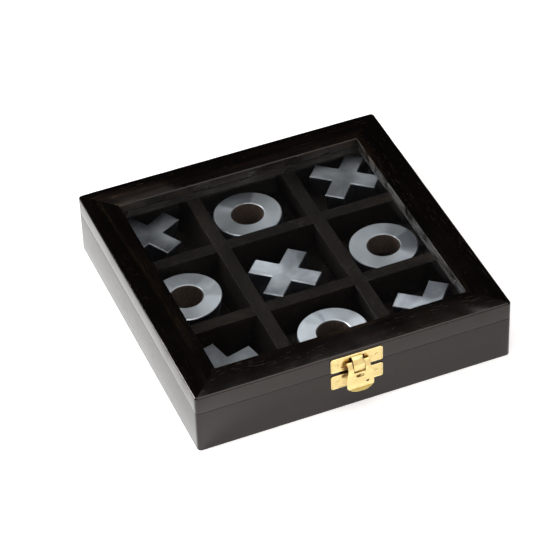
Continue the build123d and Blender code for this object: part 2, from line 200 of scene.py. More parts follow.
class StageSettings(bpy.types.PropertyGroup):
    """Floor, lights and camera"""

    floor: colour("Floor", "Colour of the pale floor", (0.86, 0.86, 0.86))
    key: power("Top light", "Power of the large soft light above", 37)
    front: power("Front panel", "Power of the soft panel in front", 18)
    side: power("Side light", "Power of the soft light on the left", 82)
    glow: FloatProperty(
        name="Floor glow", description="Light that the floor itself gives off", default=0.42, min=0.0
    )
    lens: FloatProperty(
        name="Lens", description="Focal length of the camera", default=176.3, min=1.0, unit="CAMERA"
    )


# ---------------------------------------------------------------- laying shader nodes


class Net:
    """Short way to lay nodes in one shader tree."""

    def __init__(self, tree):
        self.tree = tree

    def feed(self, socket, value):
        if isinstance(value, bpy.types.NodeSocket):
            self.tree.links.new(value, socket)
        else:
            socket.default_value = value

    def add(self, kind, sockets=None, **settings):
        node = self.tree.nodes.new(kind)
        for key, value in settings.items():
            setattr(node, key, value)
        for key, value in (sockets or {}).items():
            self.feed(node.inputs[key], value)
        return node

    def math(self, operation, first, second=0.0, clamp=False):
        node = self.add("ShaderNodeMath", operation=operation, use_clamp=clamp)
        self.feed(node.inputs[0], first)
        self.feed(node.inputs[1], second)
        return node.outputs[0]

    def times(self, first, second, clamp=False):
        return self.math("MULTIPLY", first, second, clamp)

    def plus(self, first, second, clamp=False):
        return self.math("ADD", first, second, clamp)

    def minus(self, first, second, clamp=False):
        return self.math("SUBTRACT", first, second, clamp)

    def dot(self, first, second):
        node = self.add("ShaderNodeVectorMath", operation="DOT_PRODUCT")
        self.feed(node.inputs[0], first)
        self.feed(node.inputs[1], second)
        return node.outputs["Value"]

    def place(self):
        """Where a point lies on its own piece, in metres."""
        return self.add("ShaderNodeTexCoord").outputs["Object"]

    def marked(self, name):
        """Number that a piece's mesh holds under a name."""
        return self.add("ShaderNodeAttribute", attribute_name=name).outputs["Fac"]

    def stretch(self, place, scale, shift=(0, 0, 0)):
        node = self.add("ShaderNodeMapping")
        self.feed(node.inputs["Vector"], place)
        node.inputs["Scale"].default_value = scale
        node.inputs["Location"].default_value = shift
        return node.outputs["Vector"]

    def noise(self, place, scale, detail=2.0, roughness=0.5, distortion=0.0):
        node = self.add("ShaderNodeTexNoise")
        for key, value in (
            ("Vector", place),
            ("Scale", scale),
            ("Detail", detail),
            ("Roughness", roughness),
            ("Distortion", distortion),
        ):
            self.feed(node.inputs[key], value)
        return node.outputs["Fac"]

    def span(self, value, low, high, to_low=0.0, to_high=1.0):
        """Value between low and high, stretched to the new limits and clamped."""
        node = self.add("ShaderNodeMapRange", clamp=True)
        for key, amount in (
            ("Value", value),
            ("From Min", low),
            ("From Max", high),
            ("To Min", to_low),
            ("To Max", to_high),
        ):
            self.feed(node.inputs[key], amount)
        return node.outputs["Result"]

    def mix(self, factor, first, second, blend_type="MIX"):
        node = self.add("ShaderNodeMix", data_type="RGBA", blend_type=blend_type)
        colours = [s for s in node.inputs if s.type == "RGBA"]
        self.feed(node.inputs[0], factor)
        self.feed(colours[0], first)
        self.feed(colours[1], second)
        return next(s for s in node.outputs if s.type == "RGBA")

    def bump(self, height, depth, strength=1.0, normal=None):
        node = self.add("ShaderNodeBump", {"Height": height, "Distance": depth, "Strength": strength})
        if normal is not None:
            self.feed(node.inputs["Normal"], normal)
        return node.outputs["Normal"]

    def group(self, tree, **sockets):
        node = self.add("ShaderNodeGroup", node_tree=tree)
        for key, value in sockets.items():
            self.feed(node.inputs[key.replace("_", " ")], value)
        return node.outputs


def rgb(values, strength=1.0):
    """Colour with its alpha, dimmed or lifted as a whole."""
    return (*(value * strength for value in values), 1.0)


def once(kind, name):
    """Lets a maker of a node group or material run once; after that its result is found by name."""

    def decorate(make):
        @wraps(make)
        def find_or_make():
            found = getattr(bpy.data, kind).get(name)
            return make(name) if found is None else found

        return find_or_make

    return decorate


def new_group(name, inputs, outputs):
    """Empty node group with named sockets; gives its net, its input node and its output node."""
    group = bpy.data.node_groups.new(name, "ShaderNodeTree")
    for label, kind, default in inputs:
        socket = group.interface.new_socket(name=label, in_out="INPUT", socket_type=f"NodeSocket{kind}")
        if default is not None:
            socket.default_value = default
    for label, kind in outputs:
        group.interface.new_socket(name=label, in_out="OUTPUT", socket_type=f"NodeSocket{kind}")
    net = Net(group)
    return net, net.add("NodeGroupInput").outputs, net.add("NodeGroupOutput").inputs


@once("node_groups", "Open grain")
def open_grain(name):
    """Grain of an open-pored board; Place runs along the grain in X, in metres."""
    net, given, out = new_group(
        name,
        [("Place", "Vector", None), ("Pore cover", "Float", 0.5)],
        [("Figure", "Float"), ("Pores", "Float"), ("Streaks", "Float"), ("Height", "Float")],
    )

    def layer(along, across, shift=0.0, **character):
        """Noise drawn out along the grain; along and across are its marks in each metre."""
        place = net.stretch(given["Place"], (along, across, across), (shift, 0, 0))
        return net.noise(place, 1.0, **character)

    figure = layer(5, 75, detail=5.0, roughness=0.6, distortion=0.6)
    fine = layer(38, 900, detail=3.0, roughness=0.6)
    pores = layer(62, 1250, shift=3.1, detail=1.0)
    patches = layer(6, 42, shift=1.9, detail=3.0, roughness=0.6)
    cut = net.minus(0.78, net.times(given["Pore cover"], 0.2))
    cut = net.minus(cut, net.span(patches, 0.40, 0.72, 0.0, 0.14))
    pores = net.span(pores, cut, net.plus(cut, 0.06))
    bands = layer(2.2, 34, shift=7.7, detail=3.0, roughness=0.55, distortion=0.8)
    streaks = net.times(net.span(bands, 0.56, 0.74), net.span(fine, 0.42, 0.62))
    net.feed(out["Figure"], figure)
    net.feed(out["Pores"], pores)
    net.feed(out["Streaks"], streaks)
    relief = net.minus(net.times(fine, 0.35), net.times(pores, 0.5))
    net.feed(out["Height"], relief)
    return net.tree


@once("node_groups", "Edge wear")
def edge_wear(name):
    """Broken-up mask along outside edges, where a finish rubs through; on the metals it also places painted
    edge highlights.
    """
    net, given, out = new_group(
        name,
        [
            ("Place", "Vector", None), ("Radius", "Float", 0.002),
            ("Break up", "Float", 60.0), ("Amount", "Float", 0.5),
        ],
        [("Wear", "Float")],
    )
    softened = net.add("ShaderNodeBevel", {"Radius": given["Radius"]}, samples=4).outputs["Normal"]
    plain = net.add("ShaderNodeNewGeometry").outputs["Normal"]
    edge = net.span(net.dot(softened, plain), 0.985, 0.86)
    patchy = net.noise(given["Place"], given["Break up"], 4.0, 0.65)
    low = net.minus(0.72, net.times(given["Amount"], 0.4))
    patchy = net.span(patchy, low, net.plus(low, 0.14))
    net.feed(out["Wear"], net.times(edge, patchy, True))
    return net.tree


@once("node_groups", "Handling marks")
def handling_marks(name):
    """Smudges and fine scratches of a handled surface."""
    net, given, out = new_group(
        name,
        [("Place", "Vector", None), ("Size", "Float", 1.0)],
        [("Smudge", "Float"), ("Scratch", "Float")],
    )
    place = net.add("ShaderNodeVectorMath", operation="SCALE")
    net.feed(place.inputs[0], given["Place"])
    net.feed(place.inputs["Scale"], given["Size"])
    place = place.outputs["Vector"]
    net.feed(out["Smudge"], net.span(net.noise(place, 22.0, 4.0, 0.62, 0.4), 0.36, 0.68))
    first = net.noise(net.stretch(place, (40, 2400, 900)), 1.0, 1.0)
    turned = net.add("ShaderNodeVectorRotate", {"Vector": place, "Angle": 0.7}, rotation_type="Z_AXIS")
    second = net.noise(net.stretch(turned.outputs["Vector"], (60, 2900, 900)), 1.0, 1.0)
    marks = net.math("MAXIMUM", net.span(first, 0.70, 0.76), net.span(second, 0.71, 0.77))
    net.feed(out["Scratch"], marks)
    return net.tree


@once("node_groups", "Dust specks")
def dust_specks(name):
    """Small scattered specks that lie on upward faces."""
    net, given, out = new_group(
        name,
        [("Place", "Vector", None), ("Cover", "Float", 0.3)],
        [("Dust", "Float")],
    )
    cells = net.add("ShaderNodeTexVoronoi", {"Vector": given["Place"], "Scale": 420.0, "Randomness": 1.0})
    speck = net.span(cells.outputs["Distance"], 0.20, 0.08)
    drift = net.noise(given["Place"], 17.0, 5.0, 0.7)
    low = net.minus(0.78, net.times(given["Cover"], 0.4))
    where = net.span(drift, low, net.plus(low, 0.1))
    geometry = net.add("ShaderNodeNewGeometry")
    axes = net.add("ShaderNodeSeparateXYZ", {"Vector": geometry.outputs["Normal"]})
    up = net.span(axes.outputs["Z"], 0.5, 0.95, 0.25, 1.0)
    net.feed(out["Dust"], net.times(net.times(speck, where), up, True))
    return net.tree


@once("node_groups", "Turned rings and painted sectors")
def turned_rings_and_painted_sectors(name):
    """Rings of a lathe-turned face, and slow sectors where its reflection is painted darker; Place is from
    the piece's middle.
    """
    net, given, out = new_group(
        name,
        [
            ("Place", "Vector", None), ("Way", "Vector", None),
            ("Spread", "Float", 0.3), ("Soft", "Float", 0.1),
        ],
        [("Rings", "Float"), ("Painted sector", "Float")],
    )
    axes = net.add("ShaderNodeSeparateXYZ", {"Vector": given["Place"]})
    across, along = axes.outputs["X"], axes.outputs["Y"]
    squares = net.plus(net.times(across, across), net.times(along, along))
    reach = net.math("SQRT", squares)
    lines = net.add("ShaderNodeTexNoise", noise_dimensions="1D")
    net.feed(lines.inputs["W"], net.times(reach, 1900.0))
    lines.inputs["Scale"].default_value = 1.0
    lines.inputs["Detail"].default_value = 3.0
    net.feed(out["Rings"], lines.outputs["Fac"])
    flat = net.add("ShaderNodeVectorMath", operation="NORMALIZE")
    plan = net.add("ShaderNodeCombineXYZ", {"X": across, "Y": along})
    net.feed(flat.inputs[0], plan.outputs["Vector"])
    facing = net.dot(flat.outputs["Vector"], given["Way"])
    ragged = net.noise(given["Place"], 40.0, 2.0, 0.5)
    turned = net.plus(facing, net.times(ragged, 0.12))
    low = net.minus(1.06, given["Spread"])
    net.feed(out["Painted sector"], net.span(turned, low, net.plus(low, given["Soft"])))
    return net.tree


def new_material(name):
    """Material with an empty tree, its net and its Principled shader."""
    material = bpy.data.materials.new(name)
    material.use_nodes = True
    material.node_tree.nodes.clear()
    net = Net(material.node_tree)
    shader = net.add("ShaderNodeBsdfPrincipled")
    output = net.add("ShaderNodeOutputMaterial")
    net.feed(output.inputs["Surface"], shader.outputs["BSDF"])
    return material, net, shader, output


def wood(name, roughness, thin, pore_cover, dust, shine, rubbed):
    """Ebonised open-grain wood.

    thin is how far the stain lets the brown through, pore_cover and dust how much of the surface
    they take, shine how strongly it reflects, and rubbed the colour of its worn edges.
    The mesh's "bare" is 1 where the wood is unfinished brown and -1 where it is dull and sheltered.
    """
    if name in bpy.data.materials:
        return bpy.data.materials[name]
    case = bpy.context.scene.tictactoe_case
    material, net, shader, _ = new_material(name)
    place = net.add("ShaderNodeAttribute", attribute_name="grain").outputs["Vector"]
    bare = net.marked("bare")
    grain = net.group(open_grain(), Place=place, Pore_cover=pore_cover)
    marks = net.group(handling_marks(), Place=place, Size=1.0)
    worn = net.group(edge_wear(), Place=place, Radius=0.0022, Break_up=70.0, Amount=0.45)["Wear"]
    specks = net.group(dust_specks(), Place=place, Cover=dust)["Dust"]
    raw = net.math("MAXIMUM", bare, 0.0)
    dull = net.math("ABSOLUTE", bare)
    show = net.plus(net.times(raw, 0.85), thin)
    figure = net.span(grain["Figure"], 0.42, 0.74)
    base = net.mix(net.times(figure, show, True), rgb(case.stain), rgb(case.heart))
    base = net.mix(net.times(grain["Streaks"], show, True), base, rgb(case.pore))
    open_pores = net.plus(net.times(show, 0.5), 0.05)
    base = net.mix(net.times(grain["Pores"], open_pores, True), base, rgb(case.pore))
    base = net.mix(net.times(worn, 0.55), base, rgb(rubbed))
    base = net.mix(net.times(specks, 0.8), base, (0.22, 0.19, 0.15, 1.0))
    net.feed(shader.inputs["Base Color"], base)
    rough = net.plus(net.times(marks["Smudge"], 0.06), roughness)
    rough = net.plus(rough, net.times(grain["Pores"], 0.18))
    rough = net.plus(rough, net.times(specks, 0.3))
    rough = net.plus(rough, net.times(dull, 0.45), True)
    net.feed(shader.inputs["Roughness"], rough)
    shader.inputs["IOR"].default_value = 1.5
    shader.inputs["Specular IOR Level"].default_value = shine
    shader.inputs["Specular Tint"].default_value = (1.0, 0.91, 0.87, 1.0)
    ripple = net.noise(net.stretch(place, (9, 40, 40)), 1.0, 2.0)
    normal = net.bump(ripple, 0.00035, 0.5)
    normal = net.bump(grain["Height"], 0.00012, 0.6, normal)
    net.feed(shader.inputs["Normal"], normal)
    return material


def case_wood():
    case = bpy.context.scene.tictactoe_case
    return wood(
        "case wood", case.gloss, thin=0.06, pore_cover=0.12, dust=0.05, shine=0.42, rubbed=case.heart
    )


def cell_wood():
    case = bpy.context.scene.tictactoe_case
    return wood("cell wood", 0.55, thin=0.12, pore_cover=0.35, dust=0.7, shine=0.09, rubbed=case.pore)


@once("materials", "pane glass")
def pane_glass(name):
    """Clear glass with a few smudges; lamps shine through it."""
    material, net, shader, output = new_material(name)
    place = net.place()
    marks = net.group(handling_marks(), Place=place, Size=0.6)
    shader.inputs["Base Color"].default_value = (0.985, 0.993, 0.99, 1.0)
    shader.inputs["Transmission Weight"].default_value = 1.0
    shader.inputs["IOR"].default_value = 1.5
    rough = net.times(net.math("MAXIMUM", marks["Smudge"], marks["Scratch"]), 0.02)
    net.feed(shader.inputs["Roughness"], rough)
    clear = net.add("ShaderNodeBsdfTransparent", {"Color": (0.93, 0.95, 0.94, 1.0)})
    path = net.add("ShaderNodeLightPath")
    mixed = net.add("ShaderNodeMixShader", {"Fac": path.outputs["Is Shadow Ray"]})
    net.feed(mixed.inputs[1], shader.outputs["BSDF"])
    net.feed(mixed.inputs[2], clear.outputs["BSDF"])
    net.feed(output.inputs["Surface"], mixed.outputs["Shader"])
    return material


def piece_metal(name, turned, seed, painted_light_level):
    """Satin metal of the playing pieces: turned, with painted darker reflection sectors, where sectors are
    given; otherwise brushed.
    """
    if name in bpy.data.materials:
        return bpy.data.materials[name]
    pieces = bpy.context.scene.tictactoe_pieces
    material, net, shader, _ = new_material(name)
    place = net.place()
    marks = net.group(handling_marks(), Place=place, Size=1.6)
    worn = net.group(edge_wear(), Place=place, Radius=0.0012, Break_up=90.0, Amount=0.9)["Wear"]
    cloud = net.noise(net.stretch(place, (1, 1, 1), (seed, seed, 0)), 17.0, 4.0, 0.6, 0.5)
    if turned:
        lines, shade = None, net.plus(net.times(cloud, 0.5), 0.62)
        for way, spread, soft, depth in turned:
            angle = math.radians(way)
            facing = (math.cos(angle), math.sin(angle), 0)
            finish = net.group(turned_rings_and_painted_sectors(), Place=place, Way=facing, Spread=spread, Soft=soft)
            lines = lines or finish["Rings"]
            # Each sector paints the turned face darker, in place of the weaker reflection there.
            shade = net.minus(shade, net.times(finish["Painted sector"], depth), True)
    else:
        lines = net.noise(net.stretch(place, (45, 2100, 200)), 1.0, 3.0, 0.6)
        slow = net.noise(net.stretch(place, (1, 1, 1), (0, seed, seed)), 9.0, 2.0, 0.5)
        drift = net.plus(net.times(slow, 0.6), net.times(cloud, 0.4))
        shade = net.span(drift, 0.38, 0.60)
    # Both metal colours are dimmed or lifted by the piece's painted light level, which stands in for how much
    # light reaches it.
    base = net.mix(shade, rgb(pieces.shade, painted_light_level), rgb(pieces.metal, painted_light_level))
    base = net.mix(net.times(marks["Scratch"], 0.25), base, (0.30, 0.31, 0.33, 1.0))
    # The sides are painted darker, standing in for the dark case they reflect; they are also less rough.
    side = net.marked("side")
    base = net.mix(side, base, rgb(pieces.painted_side_shade))
    # Painted highlight: the worn edges are lifted almost to white, for the bright lines the chamfers catch as
    # well as for wear.
    base = net.mix(net.times(worn, 0.8), base, (0.95, 0.96, 0.97, 1.0))
    # The bores are painted dark brown: unpolished metal, and also painted shade and painted reflection of the
    # brown wood in the hole.
    bore = net.marked("bore")
    grit = net.span(net.noise(place, 260.0, 4.0, 0.7), 0.42, 0.66)
    base = net.mix(bore, base, net.mix(grit, rgb(pieces.raw, 0.6), rgb(pieces.raw, 1.2)))
    net.feed(shader.inputs["Base Color"], base)
    net.feed(shader.inputs["Metallic"], net.span(bore, 0.0, 1.0, 1.0, 0.25))
    rough = net.plus(net.times(marks["Smudge"], 0.08), pieces.roughness)
    rough = net.minus(rough, net.times(side, 0.14))
    rough = net.plus(rough, net.times(lines, 0.06))
    rough = net.minus(rough, net.times(worn, 0.15), True)
    net.feed(shader.inputs["Roughness"], rough)
    shader.inputs["Anisotropic"].default_value = 0.35
    normal = net.bump(cloud, 0.0006, 0.25)
    normal = net.bump(lines, 0.00003, 0.7, normal)
    net.feed(shader.inputs["Normal"], normal)
    return material


@once("materials", "polished brass")
def polished_brass(name):
    """Bright stamped brass, oxidised a little in places, with painted shade in its hollows and painted
    highlights on its edges.
    """
    catch = bpy.context.scene.tictactoe_catch
    material, net, shader, _ = new_material(name)
    place = net.place()
    marks = net.group(handling_marks(), Place=place, Size=3.0)
    worn = net.group(edge_wear(), Place=place, Radius=0.0007, Break_up=260.0, Amount=0.9)["Wear"]
    patch = net.noise(place, 120.0, 4.0, 0.6, 0.5)
    lip = net.marked("lip")
    # Painted shade: ambient occlusion darkens the hollows and the plate behind the hasp to the same brown as
    # the noise patches of real oxidation.
    hollow = net.add("ShaderNodeAmbientOcclusion", {"Distance": 0.014}, samples=6)
    painted_hollow_shade = net.span(hollow.outputs["AO"], 0.86, 0.36)
    patchy = net.times(net.span(patch, 0.50, 0.78), 0.40)
    dull = net.plus(patchy, net.times(painted_hollow_shade, 0.9))
    # The lip's upward faces get the darker lip colour as painted shade.
    base = net.mix(net.times(lip, 0.8), rgb(catch.brass), rgb(catch.painted_lip_shade))
    base = net.mix(net.math("MINIMUM", dull, 1.0), base, rgb(catch.tarnish_and_painted_shade))
    # Painted highlight: the worn edges are lifted to pale gold, as wear and as the bright rims the edges
    # catch.
    base = net.mix(net.times(worn, 0.5), base, (1.0, 0.86, 0.52, 1.0))
    net.feed(shader.inputs["Base Color"], base)
    shader.inputs["Metallic"].default_value = 1.0
    rough = net.plus(net.times(marks["Smudge"], 0.10), catch.roughness)
    rough = net.plus(rough, net.times(marks["Scratch"], 0.12))
    rough = net.plus(rough, net.times(painted_hollow_shade, 0.25), True)
    net.feed(shader.inputs["Roughness"], rough)
    normal = net.bump(patch, 0.00020, 0.35)
    normal = net.bump(marks["Scratch"], 0.00002, 0.5, normal)
    net.feed(shader.inputs["Normal"], normal)
    return material


# ---------------------------------------------------------------- meshes

SHARP = math.radians(32)


def finish_mesh(name, bm, material, weighted=False):
    """Smooth-shaded object from a bmesh, its hard edges kept hard."""
    bmesh.ops.remove_doubles(bm, verts=bm.verts, dist=1e-7)
    bmesh.ops.recalc_face_normals(bm, faces=bm.faces)
    for face in bm.faces:
        face.smooth = True
    for edge in bm.edges:
        edge.smooth = len(edge.link_faces) == 2 and edge.calc_face_angle(0.0) < SHARP
    mesh = bpy.data.meshes.new(name)
    bm.to_mesh(mesh)
    bm.free()
    mesh.materials.append(material)
    piece = bpy.data.objects.new(name, mesh)
    bpy.context.scene.collection.objects.link(piece)
    if weighted:
        piece.modifiers.new("Weighted normals", "WEIGHTED_NORMAL").keep_sharp = True
    return piece


def set_on(piece, body, node):
    """Place a finished piece in the frame: its body and the part it stands for."""
    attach(piece, body)
    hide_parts(node)


def grain_marks(piece, along, number, bare=None):
    """Grain coordinates for a board: X along the grain, each board cut from elsewhere in the tree."""
    mesh = piece.data
    shift = Vector((0.71 * number, 0.37 * number, 0.113 * number))
    mesh.attributes.new("grain", "FLOAT_VECTOR", "POINT")
    mesh.attributes.new("bare", "FLOAT", "POINT")
    turned = [v.co if along == "x" else Vector((v.co.y, -v.co.x, v.co.z)) for v in mesh.vertices]
    places = [distance for place in turned for distance in place + shift]
    shown = [bare(v.co) if bare else 0.0 for v in mesh.vertices]
    mesh.attributes["grain"].data.foreach_set("vector", places)
    mesh.attributes["bare"].data.foreach_set("value", shown)


def mark(piece, name, chosen):
    """Attribute that is 1 on the chosen vertices and 0 elsewhere."""
    piece.data.attributes.new(name, "FLOAT", "POINT")
    values = [1.0 if chosen(v) else 0.0 for v in piece.data.vertices]
    piece.data.attributes[name].data.foreach_set("value", values)


def rectangle(left, bottom, right, top):
    return [(left, bottom), (right, bottom), (right, top), (left, top)]


def arc(x, y, radius, start, turn, steps):
    """Points round part of a circle, its two ends among them; start and turn are in degrees."""
    angles = [math.radians(start + turn * k / steps) for k in range(steps + 1)]
    return [(x + radius * math.cos(a), y + radius * math.sin(a)) for a in angles]


def rounded(points, radii, steps=4):
    """Closed outline of (u, v) points with each corner rounded by its own radius."""
    outline = []
    count = len(points)
    for i, (point, radius) in enumerate(zip(points, radii)):
        here = Vector(point)
        before = (Vector(points[i - 1]) - here).normalized()
        after = (Vector(points[(i + 1) % count]) - here).normalized()
        if radius <= 0:
            outline.append(here)
            continue
        half = before.angle(after) / 2
        cut = radius / math.tan(half)
        start, end = here + before * cut, here + after * cut
        middle = here + (before + after).normalized() * (radius / math.sin(half))
        first, last = start - middle, end - middle
        for k in range(steps + 1):
            spoke = first.lerp(last, k / steps)
            outline.append(middle + spoke.normalized() * radius)
    return outline


def inward(outline):
    """Unit normals of a closed outline that point into it."""
    normals = []
    count = len(outline)
    area = sum(a.x * b.y - b.x * a.y for a, b in zip(outline, outline[1:] + outline[:1]))
    way = 1 if area > 0 else -1
    for i in range(count):
        run = (outline[(i + 1) % count] - outline[i - 1]).normalized()
        normals.append(Vector((-run.y, run.x)) * way)
    return normals


def move(bm, offset):
    bmesh.ops.translate(bm, verts=bm.verts, vec=offset)


def turn_about_z(bm, degrees):
    spin = Matrix.Rotation(math.radians(degrees), 3, "Z")
    bmesh.ops.rotate(bm, verts=bm.verts, cent=(0, 0, 0), matrix=spin)


def cut_across(bm, y):
    """New edges where the mesh crosses a height in Y, so that it can bend there."""
    everything = list(bm.verts) + list(bm.edges) + list(bm.faces)
    bmesh.ops.bisect_plane(bm, geom=everything, plane_co=(0, y, 0), plane_no=(0, 1, 0))


def skin(bm, rings, closed=False):
    """Quads between rings of points; closed joins the last ring to the first, otherwise both are capped."""
    made = [[bm.verts.new(point) for point in ring] for ring in rings]
    count = len(made[0])
    pairs = list(zip(made, made[1:])) + ([(made[-1], made[0])] if closed else [])
    for low, high in pairs:
        for i in range(count):
            j = (i + 1) % count
            bm.faces.new((low[i], low[j], high[j], high[i]))
    if not closed:
        bm.faces.new(list(reversed(made[0])))
        bm.faces.new(made[-1])


SIDE_TURNS = {"front": 0, "right": 90, "back": 180, "left": 270}
MITRE_EASE = 0.25 * MM
STATION_STEP = 6 * MM
# Degrees round an upright corner where a member has a ring of points; the mitre is at 45.
CORNER_STOPS = (9, 18, 27, 36, 42.6, 45)
# How fast the rubbed-down edge changes along a rail, from rail to rail and up the rail.
CHAFE_ALONG, CHAFE_APART, CHAFE_UP = 28, 5.3, 9


def mitred_member(side, half_x, half_y, profile, corner, worn=0.0, seed=0):
    """Bmesh of one mitred member, laid along the front and then turned to its side.

    profile holds (depth inwards, height) points, corner is the radius of the case's upright
    corners, and worn is how far the outside top edge is rubbed down.
    """
    reach, half_length = (half_y, half_x) if side in ("front", "back") else (half_x, half_y)
    normals = inward(profile)
    straight = half_length - corner
    steps = max(2, round(2 * straight / STATION_STEP))
    stations = [((-1 + 2 * k / steps) * straight, 0.0) for k in range(steps + 1)]
    ends = [(straight, math.radians(stop)) for stop in CORNER_STOPS] if corner > 0 else []
    stations = [(-x, -phi) for x, phi in reversed(ends)] + stations + ends
    if not ends:
        stations = [(-straight + MITRE_EASE, 0.0) if k == 1 else s for k, s in enumerate(stations)]
        stations[-2] = (straight - MITRE_EASE, 0.0)
    outer_end = half_length - corner * (1 - math.sin(math.radians(45)))
    rings = []
    for number, (x, phi) in enumerate(stations):
        last = number in (0, len(stations) - 1)
        way = -1 if x < 0 else 1
        outer_x = x + corner * math.sin(phi)
        ring = []
        for point, normal in zip(profile, normals):
            depth, height = point
            if last:
                depth, height = point + normal * MITRE_EASE
            elif worn and depth < 2 * corner and height > LID_BOTTOM:
                place = Vector((outer_x * CHAFE_ALONG, seed * CHAFE_APART, height * CHAFE_UP))
                rub = worn * max(0.0, noise.noise(place)) * max(0.0, normal.x) * max(0.0, -normal.y) * 2
                depth += normal.x * rub
                height += normal.y * rub
            if depth < corner:
                along = x + (corner - depth) * math.sin(phi)
                inset = corner - (corner - depth) * math.cos(phi)
            else:
                along = outer_x / outer_end * (half_length - depth)
                inset = depth
            if last:
                along = way * (half_length - inset)
            ring.append(Vector((along, -reach + inset, height)))
        rings.append(ring)
    bm = bmesh.new()
    skin(bm, rings)
    turn_about_z(bm, SIDE_TURNS[side])
    return bm


def side_axis(side):
    return "x" if side in ("front", "back") else "y"


def lathe(bm, profile, place, steps, closed=False):
    """Turn a (radius, height) profile round Z and put it in place; a radius of 0 makes a pole."""
    rows = []
    for radius, height in profile:
        if radius == 0:
            rows.append([bm.verts.new(place @ Vector((0, 0, height)))])
            continue
        angles = [2 * math.pi * k / steps for k in range(steps)]
        row = [Vector((radius * math.cos(a), radius * math.sin(a), height)) for a in angles]
        rows.append([bm.verts.new(place @ point) for point in row])
    pairs = list(zip(rows, rows[1:])) + ([(rows[-1], rows[0])] if closed else [])
    for low, high in pairs:
        for k in range(steps):
            j = (k + 1) % steps
            corners = [low[k % len(low)], low[j % len(low)], high[j % len(high)], high[k % len(high)]]
            bm.faces.new([v for i, v in enumerate(corners) if v not in corners[:i]])


def from_curve(build):
    """Bmesh of a curve that build(curve) fills in."""
    curve = bpy.data.curves.new("working curve", "CURVE")
    build(curve)
    holder = bpy.data.objects.new("working curve", curve)
    bpy.context.scene.collection.objects.link(holder)
    bpy.context.view_layer.update()
    finished = holder.evaluated_get(bpy.context.evaluated_depsgraph_get())
    mesh = bpy.data.meshes.new_from_object(finished)
    bm = bmesh.new()
    bm.from_mesh(mesh)
    bpy.data.objects.remove(holder)
    bpy.data.curves.remove(curve)
    bpy.data.meshes.remove(mesh)
    return bm


def punched_sheet(outline, holes, thickness, edge):
    """Flat sheet in XY, centred on Z = 0, with rounded-over edges outside and in the holes."""

    def build(curve):
        curve.dimensions = "2D"
        curve.fill_mode = "BOTH"
        curve.extrude = thickness / 2 - edge
        curve.bevel_depth = edge
        curve.bevel_resolution = 2
        curve.offset = -edge
        for loop in [outline] + holes:
            spline = curve.splines.new("POLY")
            spline.points.add(len(loop) - 1)
            for point, (u, v) in zip(spline.points, loop):
                point.co = (u, v, 0, 1)
            spline.use_cyclic_u = True

    bm = from_curve(build)
    bmesh.ops.remove_doubles(bm, verts=bm.verts, dist=1e-6)
    return bm


def bent_rod(points, radius, steps=12):
    """Round bar along a run of points, with flat ends."""

    def build(curve):
        curve.dimensions = "3D"
        curve.bevel_depth = radius
        curve.bevel_resolution = steps // 4
        curve.use_fill_caps = True
        spline = curve.splines.new("POLY")
        spline.points.add(len(points) - 1)
        for point, place in zip(spline.points, points):
            point.co = (*place, 1)

    return from_curve(build)


def pour(target, source, place=Matrix.Identity(4)):
    """Add the mesh of one bmesh to another, moved to its place."""
    working = bpy.data.meshes.new("working mesh")
    bmesh.ops.transform(source, matrix=place, verts=source.verts)
    source.to_mesh(working)
    source.free()
    target.from_mesh(working)
    bpy.data.meshes.remove(working)


# ---------------------------------------------------------------- case


